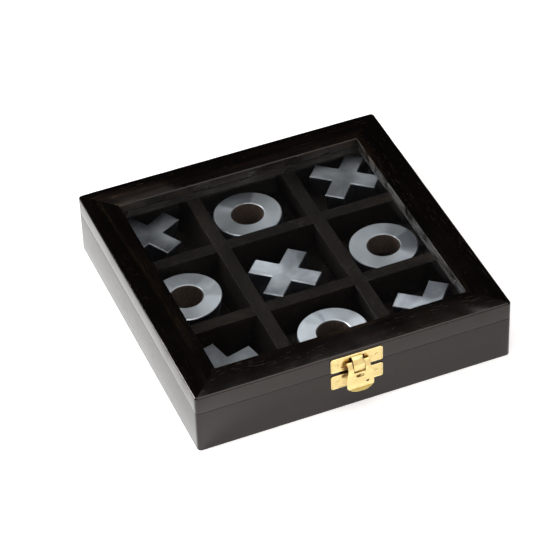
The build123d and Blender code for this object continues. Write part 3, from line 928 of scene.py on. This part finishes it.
class TICTACTOE_OT_base(bpy.types.Operator):
    """Add the base: four mitred walls, the floor panel and the crossed dividers"""

    bl_idname = "tictactoe.base"
    bl_label = "Base and dividers"

    def execute(self, context):
        case = context.scene.tictactoe_case
        self.add_walls(case)
        self.add_floor()
        self.add_dividers()
        return {"FINISHED"}

    def add_walls(self, case):
        corners = rectangle(0, 0, WALL_THICKNESS, BASE_TOP)
        profile = rounded(corners, [case.foot_radius, case.ease, case.ease, case.ease])
        inner = min(HALF_WIDTH, HALF_DEPTH) - WALL_THICKNESS
        for number, side in enumerate(SIDE_TURNS):
            bm = mitred_member(side, HALF_WIDTH, HALF_DEPTH, profile, case.upright_radius)
            wall = finish_mesh(f"wall_{side}", bm, case_wood())

            def bare(place):
                """The inner faces are dull and sheltered."""
                return -1.0 if max(abs(place.x), abs(place.y)) < inner + MM else 0.0

            grain_marks(wall, side_axis(side), number + 1, bare)
            set_on(wall, "base", f"base_{side}_wall")

    def add_floor(self):
        half_x, half_y = HALF_WIDTH - WALL_THICKNESS, HALF_DEPTH - WALL_THICKNESS
        gap = 0.15 * MM
        corners = rectangle(-half_x + gap, -half_y + gap, half_x - gap, half_y - gap)
        bm = punched_sheet(rounded(corners, [MM] * 4), [], FLOOR_TOP, 0.3 * MM)
        move(bm, (0, 0, FLOOR_TOP / 2))
        floor = finish_mesh("floor_panel", bm, cell_wood())
        grain_marks(floor, "x", 6)
        set_on(floor, "base", "base_floor_panel")

    def add_dividers(self):
        for number, name in enumerate(("front", "rear", "left", "right")):
            along_x = name in ("front", "rear")
            length_axis, width_axis = (X, Y) if along_x else (Y, X)
            low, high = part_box(f"divider_{name}")
            reach = extent(f"divider_{name}", length_axis)[1]
            offset, half = extent(f"divider_{name}", width_axis)
            cross = extent("divider_right" if along_x else "divider_rear", length_axis)[0]
            bm = self.divider(reach, half, low[Z], high[Z], cross, along_x)
            if along_x:
                move(bm, (0, offset, 0))
            else:
                turn_about_z(bm, 90)
                move(bm, (offset, 0, 0))
            board = finish_mesh(f"divider_board_{name}", bm, cell_wood(), weighted=True)
            grain_marks(board, "x" if along_x else "y", 8 + number)
            set_on(board, "base", f"divider_{name}")

    def divider(self, reach, half, bottom, top, cross, from_above):
        """One halved board along X, crossed at -cross and cross, with every edge rounded."""
        gap = half + 0.1 * MM
        middle = (bottom + top) / 2
        outline = [(-reach, bottom)]
        notch = [(-cross - gap, 1), (-cross + gap, -1), (cross - gap, 1), (cross + gap, -1)]
        if from_above:
            outline += [(reach, bottom), (reach, top)]
            for x, way in reversed(notch):
                outline += [(x, top), (x, middle)] if way < 0 else [(x, middle), (x, top)]
            outline += [(-reach, top)]
        else:
            for x, way in notch:
                outline += [(x, bottom), (x, middle)] if way > 0 else [(x, middle), (x, bottom)]
            outline += [(reach, bottom), (reach, top), (-reach, top)]
        bm = bmesh.new()
        face = bm.faces.new([bm.verts.new((x, -half, z)) for x, z in outline])
        made = bmesh.ops.extrude_face_region(bm, geom=[face])
        far_side = [v for v in made["geom"] if isinstance(v, bmesh.types.BMVert)]
        bmesh.ops.translate(bm, verts=far_side, vec=(0, 2 * half, 0))
        bmesh.ops.recalc_face_normals(bm, faces=bm.faces)
        bmesh.ops.bevel(
            bm, geom=list(bm.edges), offset=MM, segments=3, profile=0.5, affect="EDGES", clamp_overlap=True
        )
        return bm


# Unfinished brown on each rail: evenly and in patches on its faces, then evenly and in patches on
# the opening's edge, which is dull instead where the sum is below 0.
RAIL_BARE = {
    "front": (0.12, 0.4, -0.8, 2.0),
    "right": (0.0, 0.1, -0.8, 2.0),
    "back": (0.0, 0.4, 0.2, 1.2),
    "left": (0.0, 0.1, -0.8, 2.0),
}
MOST_BARE = 0.9
OPENING_EDGE = 0.6 * MM
SCRAPED_REACH = 2.5 * MM


def scattered(place, scale):
    """Scattered patches, from 0 between them to about 1 in their middles."""
    return max(0.0, noise.noise(place * scale))


class TICTACTOE_OT_lid(bpy.types.Operator):
    """Add the lid: four mitred rails, the beads under the glass and the pane"""

    bl_idname = "tictactoe.lid"
    bl_label = "Lid and glass"

    def execute(self, context):
        case = context.scene.tictactoe_case
        self.add_rails(case)
        self.add_beads(case)
        self.add_glass(case)
        return {"FINISHED"}

    def add_rails(self, case):
        inner = RAIL_WIDTH - REBATE_WIDTH
        corners = [
            (0, LID_BOTTOM), (inner, LID_BOTTOM), (inner, GLASS_TOP),
            (RAIL_WIDTH, GLASS_TOP), (RAIL_WIDTH, LID_TOP), (0, LID_TOP),
        ]
        radii = [case.ease, case.ease, 0, case.ease, case.lip_radius, case.top_radius]
        profile = rounded(corners, radii, 5)
        opening = HALF_WIDTH - RAIL_WIDTH
        for number, side in enumerate(SIDE_TURNS):
            bm = mitred_member(
                side, HALF_WIDTH, HALF_DEPTH, profile, case.upright_radius, worn=case.wear, seed=number
            )
            rail = finish_mesh(f"rail_{side}", bm, case_wood())
            face, face_patches, edge, edge_patches = RAIL_BARE[side]

            def bare(place):
                """The back rail is scraped bare just outside the opening's edge as well."""
                reach = max(abs(place.x), abs(place.y)) - opening
                if side == "back" and OPENING_EDGE < reach < SCRAPED_REACH:
                    return min(0.25 + 2.6 * scattered(place, 11), MOST_BARE)
                if reach > OPENING_EDGE:
                    return face + face_patches * scattered(place, 13)
                return min(edge + edge_patches * scattered(place, 26), MOST_BARE)

            grain_marks(rail, side_axis(side), number + 13, bare)
            set_on(rail, "lid", f"lid_{side}_rail")

    def add_beads(self, case):
        corners = rectangle(0, BEAD_LOW[Z], BEAD_WIDTH, GLASS_BOTTOM)
        profile = rounded(corners, [0.3 * MM, case.lip_radius, 0.5 * MM, 0.2 * MM])
        half_x, half_y = BEAD_HIGH[X], -BEAD_LOW[Y]
        for number, side in enumerate(SIDE_TURNS):
            bm = mitred_member(side, half_x, half_y, profile, 0.0)
            bead = finish_mesh(f"bead_{side}", bm, case_wood())
            grain_marks(bead, side_axis(side), number + 18, lambda place: 1.8 * scattered(place, 30) - 0.8)
            set_on(bead, "lid", f"glass_bead_{side}")

    def add_glass(self, case):
        half_x, half_y = GLASS_HIGH[X], GLASS_HIGH[Y]
        outline = rounded(rectangle(-half_x, -half_y, half_x, half_y), [1.5 * MM] * 4)
        bm = punched_sheet(outline, [], GLASS_TOP - GLASS_BOTTOM, case.glass_edge)
        pane = finish_mesh("glass_pane", bm, pane_glass())
        pane.location.z = (GLASS_TOP + GLASS_BOTTOM) / 2
        set_on(pane, "lid", "lid_glass")


# ---------------------------------------------------------------- playing pieces


class TICTACTOE_OT_crosses(bpy.types.Operator):
    """Add the five crosses"""

    bl_idname = "tictactoe.crosses"
    bl_label = "Crosses"

    def execute(self, context):
        pieces = context.scene.tictactoe_pieces
        for number, (node, turn) in enumerate(CROSS_TURNS.items()):
            low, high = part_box(node)
            thickness = high[2] - low[2]
            bm = self.cross(pieces.span / 2, pieces.arm / 2, thickness, pieces.edge)
            metal = piece_metal(f"brushed metal {number + 1}", [], 1.7 * number + 0.4, PAINTED_LIGHT_LEVELS[node])
            piece = finish_mesh(node.replace("x_piece", "cross"), bm, metal, weighted=True)
            # The sides are marked so that the metal paints shade on them.
            mark(piece, "side", lambda v: abs(v.co.z) < thickness / 2 - 0.9 * pieces.edge)
            piece.location = (Vector(low) + Vector(high)) / 2
            piece.rotation_euler.z = math.radians(45 + turn)
            set_on(piece, node.replace("x_piece", "x"), node)
        return {"FINISHED"}

    def cross(self, span, arm, thickness, edge):
        """Plus-shaped slab, span and arm being its half sizes, with a chamfer round both faces."""
        quarter = [(span, -arm), (span, arm), (arm, arm)]
        outline = []
        for turn in range(4):
            spin = Matrix.Rotation(math.radians(90 * turn), 2)
            outline += [spin @ Vector(point) for point in quarter]
        outline = rounded(outline, [0.7 * MM, 0.7 * MM, 0.5 * MM] * 4, 3)
        steps = [self.stretch(normal) for normal in inward(outline)]
        soft = edge * 0.25
        chamfer = [(edge + soft, 0), (edge, soft * 0.3), (soft * 0.3, edge), (0, edge + soft)]
        chamfer += [(inset, thickness - height) for inset, height in reversed(chamfer)]
        rings = [
            [(*(point + step * inset), height - thickness / 2) for point, step in zip(outline, steps)]
            for inset, height in chamfer
        ]
        bm = bmesh.new()
        skin(bm, rings)
        return bm

    def stretch(self, normal):
        """Longer step where the outline turns a corner, so the chamfer keeps its width."""
        lean = min(abs(abs(normal.x) - abs(normal.y)), 1.0)
        return normal * (1 + 0.414 * (1 - lean) ** 2)


class TICTACTOE_OT_rings(bpy.types.Operator):
    """Add the four noughts"""

    bl_idname = "tictactoe.rings"
    bl_label = "Noughts"

    def execute(self, context):
        pieces = context.scene.tictactoe_pieces
        for number, (node, sectors) in enumerate(PAINTED_RING_SECTORS.items()):
            low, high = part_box(node)
            half = (high[2] - low[2]) / 2
            outer, inner, edge = (high[0] - low[0]) / 2, pieces.bore / 2, pieces.edge
            low_edge = [
                (inner, -half + edge), (inner + edge, -half), (outer - edge, -half), (outer, -half + edge),
            ]
            high_edge = [(radius, -height) for radius, height in reversed(low_edge)]
            section = rounded(low_edge + high_edge, [0.35 * MM] * 8, 2)
            bm = bmesh.new()
            lathe(bm, section, Matrix.Identity(4), pieces.steps, closed=True)
            metal = piece_metal(f"turned metal {number + 1}", sectors, 2.3 * number + 0.9, PAINTED_LIGHT_LEVELS[node])
            piece = finish_mesh(node.replace("o_piece", "nought"), bm, metal, weighted=True)
            # The bore is marked so that the metal paints it dark brown, partly as painted shade.
            mark(piece, "bore", lambda v: v.co.xy.length < inner + 0.4 * edge)
            rim = 0.6 * edge
            # The outer side is marked so that the metal paints shade on it.
            mark(piece, "side", lambda v: v.co.xy.length > outer - rim and abs(v.co.z) < half - rim)
            piece.location = (Vector(low) + Vector(high)) / 2
            set_on(piece, node.replace("o_piece", "o"), node)
        return {"FINISHED"}


# ---------------------------------------------------------------- brass

FACE_Y = -HALF_DEPTH
OUT_OF_FRONT = Matrix.Rotation(math.radians(90), 4, "X")
OUT_OF_BACK = Matrix.Rotation(math.radians(180), 4, "Z") @ OUT_OF_FRONT
SHEET_EDGE = 0.3 * MM
STRAP_WIDTH = 16.6 * MM
STRAP_LINE = [(0.9, 91.0), (5.2, 88.4), (9.6, 82.2), (10.4, 76.8), (10.3, 71.5)]
HASP_LINE = [(6.55, 82.8), (10.2, 77.3), (12.6, 69.0), (13.2, 58.0), (13.6, 50.0), (15.4, 44.0), (18.9, 40.0)]
ARM_INNER = 8.9 * MM
ARM_OUTER = 16.9 * MM
WINDOW_SILL = 70 * MM
# The hasp's skirt: its outer edge below the arm, then the round of its lowest part, in mm.
SKIRT_LINE = [(16.9, 79.8), (17.5, 73.5), (19.3, 66.8), (20.6, 59.0), (20.6, 47.5)]
SKIRT_HALF, SKIRT_END, SKIRT_DROP = 20.6 * MM, 47.5 * MM, 7.6 * MM
LIP_TOP = 44.6 * MM
SLOT_HEIGHT, SLOT_REACH, SLOT_RADIUS = 64.3 * MM, 3.75 * MM, 2.5 * MM
EYE_PLACE, EYE_RADIUS = (ARM_INNER + 2 * MM, 51.6 * MM), 2.1 * MM
# Slots in the strike plate beside the strap, which was cut and bent out of it.
RELIEF_BOTTOM, RELIEF_TOP, RELIEF_WIDTH = 78 * MM, 91 * MM, 3.4 * MM
# Where the strike plate's two lugs start along the pin, and how wide each one is.
LUG_STARTS, LUG_WIDTH = (-6 * MM, 3.6 * MM), 2.4 * MM
STAPLE_BEND = 3 * MM
NAIL_REACH = 30.5 * MM
CURL_RADIUS = 2.7 * MM
PIN_PLAY = 0.05 * MM
LEAF_SHEET, KNUCKLE_GAP, LEAF_CORNER = 1.6 * MM, 0.5 * MM, 3 * MM
HINGE_REACH, SCREW_REACH = 150 * MM, 20 * MM
SHANK = [(0, -6.0), (0.9, -6.0), (0.9, 0.0)]
NAIL_HEAD = SHANK + [(2.15, 0.0), (2.3, 0.15), (2.2, 0.42), (1.8, 0.70), (1.1, 0.86), (0, 0.9)]
SCREW_HEAD = SHANK + [(2.2, 0.0), (2.3, 0.12), (2.25, 0.40), (1.9, 0.68), (1.2, 0.85), (0, 0.9)]


def on_face(x, z, away, back=False):
    """Place on the case's front or back face for a flat part drawn in X and Y, its Z outwards."""
    way = 1 if back else -1
    return Matrix.Translation((x, way * (HALF_DEPTH + away), z)) @ (OUT_OF_BACK if back else OUT_OF_FRONT)


def plate_outline(width, height, radius, inset=0.0):
    half, rise = width / 2 - inset, height / 2 - inset
    return rounded(rectangle(-half, -rise, half, rise), [radius - inset] * 4, 6)


def ridge(bm, outline, width, height):
    """Half-round rib that follows a closed outline."""
    section = [(-0.5, -0.4), (-0.5, 0.0), (-0.33, 0.7), (0.0, 1.0), (0.33, 0.7), (0.5, 0.0), (0.5, -0.4)]
    rings = [
        [(*(point + normal * u * width), v * height) for u, v in section]
        for point, normal in zip(outline, inward(outline))
    ]
    skin(bm, rings, closed=True)


def smooth_line(points, steps=8):
    """Points of a smooth curve through a run of (reach, height) points."""
    ends = [points[0]] + list(points) + [points[-1]]
    line = []
    for before, start, end, after in zip(ends, ends[1:], ends[2:], ends[3:]):
        for k in range(steps):
            t = k / steps
            line.append(Vector(
                b + ((c - a) * t + (2 * a - 5 * b + 4 * c - d) * t**2 + (3 * b - a - 3 * c + d) * t**3) / 2
                for a, b, c, d in zip(before, start, end, after)
            ))
    line.append(Vector(points[-1]))
    return [point * MM for point in line]


def along(line):
    """Each point of a line with its outward unit normal."""
    marks = []
    for i, point in enumerate(line):
        run = (line[min(i + 1, len(line) - 1)] - line[max(i - 1, 0)]).normalized()
        marks.append((point, Vector((-run.y, run.x))))
    return marks


def bent_strip(bm, points, width, thickness):
    """Strip of sheet that follows a (reach, height) line down the front face."""
    section = rounded(rectangle(-width / 2, -thickness / 2, width / 2, thickness / 2), [0.35 * MM] * 4, 3)
    rings = [
        [(u, FACE_Y - point.x - normal.x * t, point.y + normal.y * t) for u, t in section]
        for point, normal in along(smooth_line(points))
    ]
    skin(bm, rings)


def tube(bm, outer, inner, start, length, place):
    """Short tube with softened ends, along Z from start."""
    soft = 0.2 * MM
    end = start + length
    profile = [
        (inner, start), (outer - soft, start), (outer, start + soft),
        (outer, end - soft), (outer - soft, end), (inner, end),
    ]
    lathe(bm, profile, place, 32, closed=True)


def stud(bm, profile, place):
    lathe(bm, [(radius * MM, height * MM) for radius, height in profile], place, 24)


def pin(half, ends, place, steps):
    """Bmesh of a pin along Z, both ends shaped by (radius, distance from the end) points."""
    low = [(radius, -half + distance) for radius, distance in ends]
    bm = bmesh.new()
    lathe(bm, low + [(radius, -height) for radius, height in reversed(low)], place, steps)
    return bm


def brass_piece(name, bm, body, node):
    piece = finish_mesh(name, bm, polished_brass())
    set_on(piece, body, node)
    return piece


ALONG_X = Matrix.Rotation(math.radians(90), 4, "Y")


class TICTACTOE_OT_catch(bpy.types.Operator):
    """Add the brass catch: both plates, the hasp on its pin, the staple and the nails"""

    bl_idname = "tictactoe.catch"
    bl_label = "Hasp catch"

    def execute(self, context):
        catch = context.scene.tictactoe_catch
        self.pin_y = extent("catch_hasp_pin", Y)[0]
        self.pin_z, self.pin_radius = extent("catch_hasp_pin", Z)
        self.sheet = catch.sheet
        self.add_strike(catch)
        self.add_keeper(catch)
        self.add_staple()
        self.add_hasp()
        self.add_pin()
        self.add_nails()
        return {"FINISHED"}

    def plate(self, catch, low, high, holes):
        """Stamped plate with its raised border, in its place on the front."""
        width, height = high[X] - low[X], high[Z] - low[Z]
        corner = 3 * MM
        bm = punched_sheet(plate_outline(width, height, corner), holes, self.sheet, SHEET_EDGE)
        rib = bmesh.new()
        ridge(rib, plate_outline(width, height, corner, catch.border * 0.55), catch.border, 0.6 * MM)
        pour(bm, rib, Matrix.Translation((0, 0, self.sheet / 2)))
        place = on_face(0, (low[Z] + high[Z]) / 2, self.sheet / 2)
        bmesh.ops.transform(bm, matrix=place, verts=bm.verts)
        return bm

    def on_pin(self, start):
        """Place for a part drawn along Z that starts at a distance along the hasp's pin."""
        return Matrix.Translation((start, self.pin_y, self.pin_z)) @ ALONG_X

    def add_strike(self, catch):
        middle = (STRIKE_LOW[Z] + STRIKE_HIGH[Z]) / 2
        holes = []
        for sign in (-1, 1):
            inner, outer = sorted((sign * STRAP_WIDTH / 2, sign * (STRAP_WIDTH / 2 + RELIEF_WIDTH)))
            corners = rectangle(inner, RELIEF_BOTTOM - middle, outer, RELIEF_TOP - middle)
            holes.append(rounded(corners, [0.8 * MM] * 4, 3))
        bm = self.plate(catch, STRIKE_LOW, STRIKE_HIGH, holes)
        bent_strip(bm, STRAP_LINE, STRAP_WIDTH, self.sheet)
        rise, reach = CURL_RADIUS * 0.96, FACE_Y - self.pin_y
        lay_across = Matrix(((0, 0, 1, 0), (0, 1, 0, 0), (1, 0, 0, 0), (0, 0, 0, 1)))
        for start in LUG_STARTS:
            tube(bm, CURL_RADIUS, self.pin_radius, 0, LUG_WIDTH, self.on_pin(start))
            side = rounded(rectangle(-rise, 1.8 * MM, rise, reach - 0.3 * MM), [0.4 * MM] * 4, 2)
            web = punched_sheet(side, [], LUG_WIDTH - 0.1 * MM, 0.2 * MM)
            pour(bm, web, Matrix.Translation((start + LUG_WIDTH / 2, self.pin_y, self.pin_z)) @ lay_across)
        brass_piece("strike_plate", bm, "lid", "catch_strike_plate")

    def add_keeper(self, catch):
        bm = self.plate(catch, KEEPER_LOW, KEEPER_HIGH, [])
        brass_piece("keeper_plate", bm, "base", "catch_keeper_plate")

    def add_staple(self):
        low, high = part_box("catch_staple")
        height, radius = extent("catch_staple", Z)
        half = extent("catch_staple", X)[1] - radius
        front, root = low[Y] + radius, high[Y]
        points = [(-half, root, height)]
        for x, y in arc(-half + STAPLE_BEND, front + STAPLE_BEND, STAPLE_BEND, 180, 90, 8):
            points.append((x, y, height))
        points += [(-x, y, z) for x, y, z in reversed(points)]
        brass_piece("staple", bent_rod(points, radius, 16), "base", "catch_staple")

    def hasp_outline(self):
        """Right half from the arm's top round to the lowest point, its mirror image, and the window."""
        top = self.pin_z
        sweep = []
        for k in range(1, 13):
            angle = math.pi / 2 * k / 12
            across, down = SKIRT_HALF * math.cos(angle) ** 0.9, SKIRT_DROP * math.sin(angle)
            sweep.append(Vector((across, SKIRT_END - down)))
        right = [Vector((ARM_INNER, top)), Vector((ARM_OUTER, top)), *smooth_line(SKIRT_LINE, 5), *sweep]
        left = [Vector((-point.x, point.y)) for point in reversed(right[:-1])]
        corners = [(-ARM_INNER, top), (-ARM_INNER, WINDOW_SILL), (ARM_INNER, WINDOW_SILL), (ARM_INNER, top)]
        window = rounded(corners, [0, MM, MM, 0])
        return right + left + window[1:-1]

    def add_hasp(self):
        slot = []
        for sign in (1, -1):
            slot += arc(sign * SLOT_REACH, SLOT_HEIGHT, SLOT_RADIUS, -90 * sign, 180, 8)
        eye = arc(*EYE_PLACE, EYE_RADIUS, 0, 360, 20)[:-1]
        bm = punched_sheet(self.hasp_outline(), [slot, eye], self.sheet, SHEET_EDGE)
        line = smooth_line(HASP_LINE, 10)
        marks = along(line)
        for point in line[1:-1]:
            cut_across(bm, point.y)
        for vertex in bm.verts:
            point, normal = self.follow(marks, vertex.co.y)
            x, t = vertex.co.x, vertex.co.z
            vertex.co = (x, FACE_Y - point.x - normal.x * t, point.y + normal.y * t)
        for start in (-ARM_OUTER, ARM_INNER):
            bore = self.pin_radius + PIN_PLAY
            tube(bm, CURL_RADIUS, bore, 0, ARM_OUTER - ARM_INNER, self.on_pin(start))
        piece = brass_piece("hasp", bm, "hasp", "catch_hasp")
        # Marks the lip's upward faces, which the brass paints in shade.
        mark(piece, "lip", lambda v: v.co.z < LIP_TOP and v.normal.z > 0.1)

    def follow(self, marks, height):
        """Point and normal of the hasp's middle line at a height."""
        for (above, first), (below, last) in zip(marks, marks[1:]):
            if height >= below.y:
                t = (above.y - height) / (above.y - below.y)
                point = above.lerp(below, t)
                return point, first.lerp(last, t).normalized()
        return marks[-1]

    def add_pin(self):
        half, radius = extent("catch_hasp_pin", X)[1], self.pin_radius
        ends = [(0, 0), (radius * 0.6, 0.08 * MM), (radius * 0.93, 0.35 * MM), (radius, 0.8 * MM)]
        brass_piece("hasp_pin", pin(half, ends, self.on_pin(0), 28), "lid", "catch_hasp_pin")

    def add_nails(self):
        for name, body in (("strike", "lid"), ("keeper", "base")):
            height = extent(f"catch_{name}_nails", Z)[0]
            bm = bmesh.new()
            for sign in (-1, 1):
                stud(bm, NAIL_HEAD, on_face(sign * NAIL_REACH, height, self.sheet))
            brass_piece(f"{name}_nails", bm, body, f"catch_{name}_nails")


class TICTACTOE_OT_hinges(bpy.types.Operator):
    """Add the two butt hinges at the back"""

    bl_idname = "tictactoe.hinges"
    bl_label = "Hinges"

    def execute(self, context):
        for side in ("left", "right"):
            self.add_leaf(side, on_lid=False)
            self.add_leaf(side, on_lid=True)
            self.add_pin(side)
        self.add_screws("base", -1)
        self.add_screws("lid", 1)
        return {"FINISHED"}

    def add_leaf(self, side, on_lid):
        """Plate with rounded far corners, and its share of the three rolled knuckles."""
        body, up = ("lid", 1) if on_lid else ("base", -1)
        node = f"hinge_{side}_{body}_leaf"
        low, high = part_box(node)
        middle, half = extent(node, X)
        axis_y = extent(f"hinge_{side}_pin", Y)[0]
        axis_z, pin_radius = extent(f"hinge_{side}_pin", Z)
        outer = high[Y] - axis_y
        knuckle = (2 * half - 2 * KNUCKLE_GAP) / 3
        near = axis_z + up * (outer + KNUCKLE_GAP)
        bottom, top = sorted((near, high[Z] if on_lid else low[Z]))
        radii = [0.3 * MM, 0.3 * MM, LEAF_CORNER, LEAF_CORNER]
        outline = rounded(rectangle(-half, bottom, half, top), radii if on_lid else radii[::-1], 5)
        bm = punched_sheet(outline, [], LEAF_SHEET, SHEET_EDGE)
        bmesh.ops.transform(bm, matrix=on_face(middle, 0, LEAF_SHEET / 2, True), verts=bm.verts)
        axis = Matrix.Translation((0, axis_y, axis_z)) @ ALONG_X
        foot, head = sorted((axis_z + up * 0.6 * outer, near + up * LEAF_SHEET))
        neck = rounded(rectangle(0, foot, knuckle, head), [0.2 * MM] * 4, 2)
        for roll in [1] if on_lid else [0, 2]:
            start = low[X] + roll * (knuckle + KNUCKLE_GAP)
            tube(bm, outer, pin_radius + PIN_PLAY, start, knuckle, axis)
            web = punched_sheet(neck, [], LEAF_SHEET, SHEET_EDGE)
            out = HALF_DEPTH + LEAF_SHEET / 2 + 0.02 * MM
            pour(bm, web, Matrix.Translation((start, out, 0)) @ OUT_OF_FRONT)
        brass_piece(f"hinge_{side}_{body}_plate", bm, body, node)

    def add_pin(self, side):
        node = f"hinge_{side}_pin"
        (x, half), (y, _), (z, radius) = (extent(node, axis) for axis in (X, Y, Z))
        ends = [(0, 0), (radius * 0.7, 0.1 * MM), (radius, 0.5 * MM)]
        bm = pin(half, ends, Matrix.Translation((x, y, z)) @ ALONG_X, 24)
        brass_piece(f"hinge_{side}_rod", bm, "base", node)

    def add_screws(self, body, number):
        """Round heads with a driver slot, each turned its own way."""
        node = f"hinge_{body}_screws"
        height = extent(node, Z)[0]
        places = [sign * HINGE_REACH + way * SCREW_REACH for sign in (-1, 1) for way in (-1, 1)]
        bm = bmesh.new()
        for k, x in enumerate(places):
            head = bmesh.new()
            stud(head, SCREW_HEAD, Matrix.Rotation(0.9 * k + number, 4, "Z"))
            self.cut_slot(head)
            spin = Matrix.Rotation(1.3 * k + 0.5 * number, 4, "Z")
            pour(bm, head, on_face(x, height, LEAF_SHEET, True) @ spin)
        brass_piece(f"hinge_{body}_screw_heads", bm, body, node)

    def cut_slot(self, bm):
        """Sink a straight driver slot across the head."""
        half, depth, floor, lip = 0.34 * MM, 0.5 * MM, 0.2 * MM, 0.02 * MM
        for offset in (-half - lip, -half + lip, half - lip, half + lip):
            cut_across(bm, offset)
        for vertex in bm.verts:
            if abs(vertex.co.y) < half and vertex.co.z > floor:
                vertex.co.z -= min(depth, vertex.co.z - floor)


# ---------------------------------------------------------------- stage

CAMERA_SIDE = math.radians(-21.2582)
CAMERA_RISE = math.radians(41.3621)
CAMERA_ROLL = math.radians(-2.1449)
# In widths of the case: how far off the camera stands, and how far it moves right and up.
CAMERA_AWAY = 8.4048
CAMERA_SHIFT = (-0.0334, 0.0584)
SENSOR_WIDTH = 36.0
FLOOR_SIZE = 7.0
BACKDROP = (0.88, 0.88, 0.88, 1.0)
SURROUNDINGS = (0.012, 0.012, 0.013, 1.0)


class TICTACTOE_OT_stage(bpy.types.Operator):
    """Add the floor, the soft lights and the camera"""

    bl_idname = "tictactoe.stage"
    bl_label = "Stage"

    def execute(self, context):
        settings = context.scene.tictactoe_stage
        self.add_floor(settings)
        self.add_lights(context.scene, settings)
        self.add_camera(context.scene, settings)
        return {"FINISHED"}

    def add_floor(self, settings):
        material, net, shader, _ = new_material("pale floor")
        place = net.place()
        cloud = net.noise(place, 3.0, 3.0)
        base = net.mix(cloud, rgb(settings.floor), rgb(settings.floor, 0.985))
        net.feed(shader.inputs["Base Color"], base)
        shader.inputs["Roughness"].default_value = 0.75
        shader.inputs["Emission Color"].default_value = (1.0, 0.97, 0.955, 1.0)
        shader.inputs["Emission Strength"].default_value = settings.glow
        bm = bmesh.new()
        bmesh.ops.create_grid(bm, x_segments=8, y_segments=8, size=FLOOR_SIZE)
        floor = finish_mesh("stage_floor", bm, material)

    def add_light(self, name, place, size, strength, tint, aim=None):
        """Soft panel, aimed in a given direction, or otherwise at the case."""
        lamp = bpy.data.lights.new(name, "AREA")
        lamp.shape = "RECTANGLE"
        lamp.size, lamp.size_y = size
        lamp.energy = strength
        lamp.color = tint
        holder = bpy.data.objects.new(name, lamp)
        holder.location = place
        aim = Vector(aim) if aim else Vector((0, 0, LID_TOP / 2)) - Vector(place)
        holder.rotation_euler = aim.to_track_quat("-Z", "Y").to_euler()
        bpy.context.scene.collection.objects.link(holder)

    def add_lights(self, scene, settings):
        down, inwards = (0, 0, -1), (0, 1, 0)
        near_white, warm, cool = (1.0, 0.995, 0.985), (1.0, 0.95, 0.89), (0.97, 0.985, 1.0)
        self.add_light("top light", (-0.2, -0.55, 1.5), (2.1, 2.2), settings.key, near_white, down)
        self.add_light("front panel", (0.3, -2.2, 1.02), (2.4, 2.0), settings.front, warm, inwards)
        self.add_light("side light", (-1.9, 0.9, 0.9), (1.2, 1.2), settings.side, cool)
        world = bpy.data.worlds.new("studio")
        world.use_nodes = True
        net = Net(world.node_tree)
        path = net.add("ShaderNodeLightPath")
        seen = net.mix(path.outputs["Is Camera Ray"], SURROUNDINGS, BACKDROP)
        net.feed(world.node_tree.nodes["Background"].inputs["Color"], seen)
        scene.world = world
        scene.view_settings.view_transform = "Standard"

    def add_camera(self, scene, settings):
        side, rise, roll = CAMERA_SIDE, CAMERA_RISE, CAMERA_ROLL
        back = Vector((math.sin(side) * math.cos(rise), -math.cos(side) * math.cos(rise), math.sin(rise)))
        right = (-back).cross(Vector((0, 0, 1))).normalized()
        up = right.cross(-back)
        across = right * math.cos(roll) + up * math.sin(roll)
        above = up * math.cos(roll) - right * math.sin(roll)
        place = back * CAMERA_AWAY + across * CAMERA_SHIFT[0] + above * CAMERA_SHIFT[1]
        lens = bpy.data.cameras.new("camera")
        lens.lens = settings.lens
        lens.sensor_width = SENSOR_WIDTH
        lens.clip_start, lens.clip_end = 0.1, 60.0
        camera = bpy.data.objects.new("camera", lens)
        axes = Matrix((across, above, back)).transposed().to_4x4()
        camera.matrix_world = Matrix.Translation(place * 2 * HALF_WIDTH) @ axes
        scene.collection.objects.link(camera)
        scene.camera = camera


# ---------------------------------------------------------------- add-on

PARTS = (
    TICTACTOE_OT_stage,
    TICTACTOE_OT_base,
    TICTACTOE_OT_lid,
    TICTACTOE_OT_crosses,
    TICTACTOE_OT_rings,
    TICTACTOE_OT_catch,
    TICTACTOE_OT_hinges,
)


class TICTACTOE_PT_sidebar(bpy.types.Panel):
    """Buttons that build the set, and its settings"""

    bl_idname = "TICTACTOE_PT_sidebar"
    bl_label = "Tic tac toe set"
    bl_space_type = "VIEW_3D"
    bl_region_type = "UI"
    bl_category = "Tic tac toe"

    def draw(self, context):
        layout = self.layout
        for part in PARTS:
            layout.operator(part.bl_idname)
        for name in SETTINGS:
            group = getattr(context.scene, name)
            box = layout.box()
            for key in group.bl_rna.properties.keys():
                if key not in ("rna_type", "name"):
                    box.prop(group, key)


SETTINGS = {
    "tictactoe_case": CaseSettings,
    "tictactoe_pieces": PieceSettings,
    "tictactoe_catch": CatchSettings,
    "tictactoe_stage": StageSettings,
}


def register():
    for kind in (*SETTINGS.values(), *PARTS, TICTACTOE_PT_sidebar):
        bpy.utils.register_class(kind)
    for name, kind in SETTINGS.items():
        setattr(bpy.types.Scene, name, PointerProperty(type=kind))


def unregister():
    for name in SETTINGS:
        delattr(bpy.types.Scene, name)
    for kind in reversed((*SETTINGS.values(), *PARTS, TICTACTOE_PT_sidebar)):
        bpy.utils.unregister_class(kind)


def main():
    register()
    bpy.ops.tictactoe.stage()
    bpy.ops.tictactoe.base()
    bpy.ops.tictactoe.lid()
    bpy.ops.tictactoe.crosses()
    bpy.ops.tictactoe.rings()
    bpy.ops.tictactoe.catch()
    bpy.ops.tictactoe.hinges()
    bpy.context.view_layer.update()


if __name__ == "__main__":
    main()
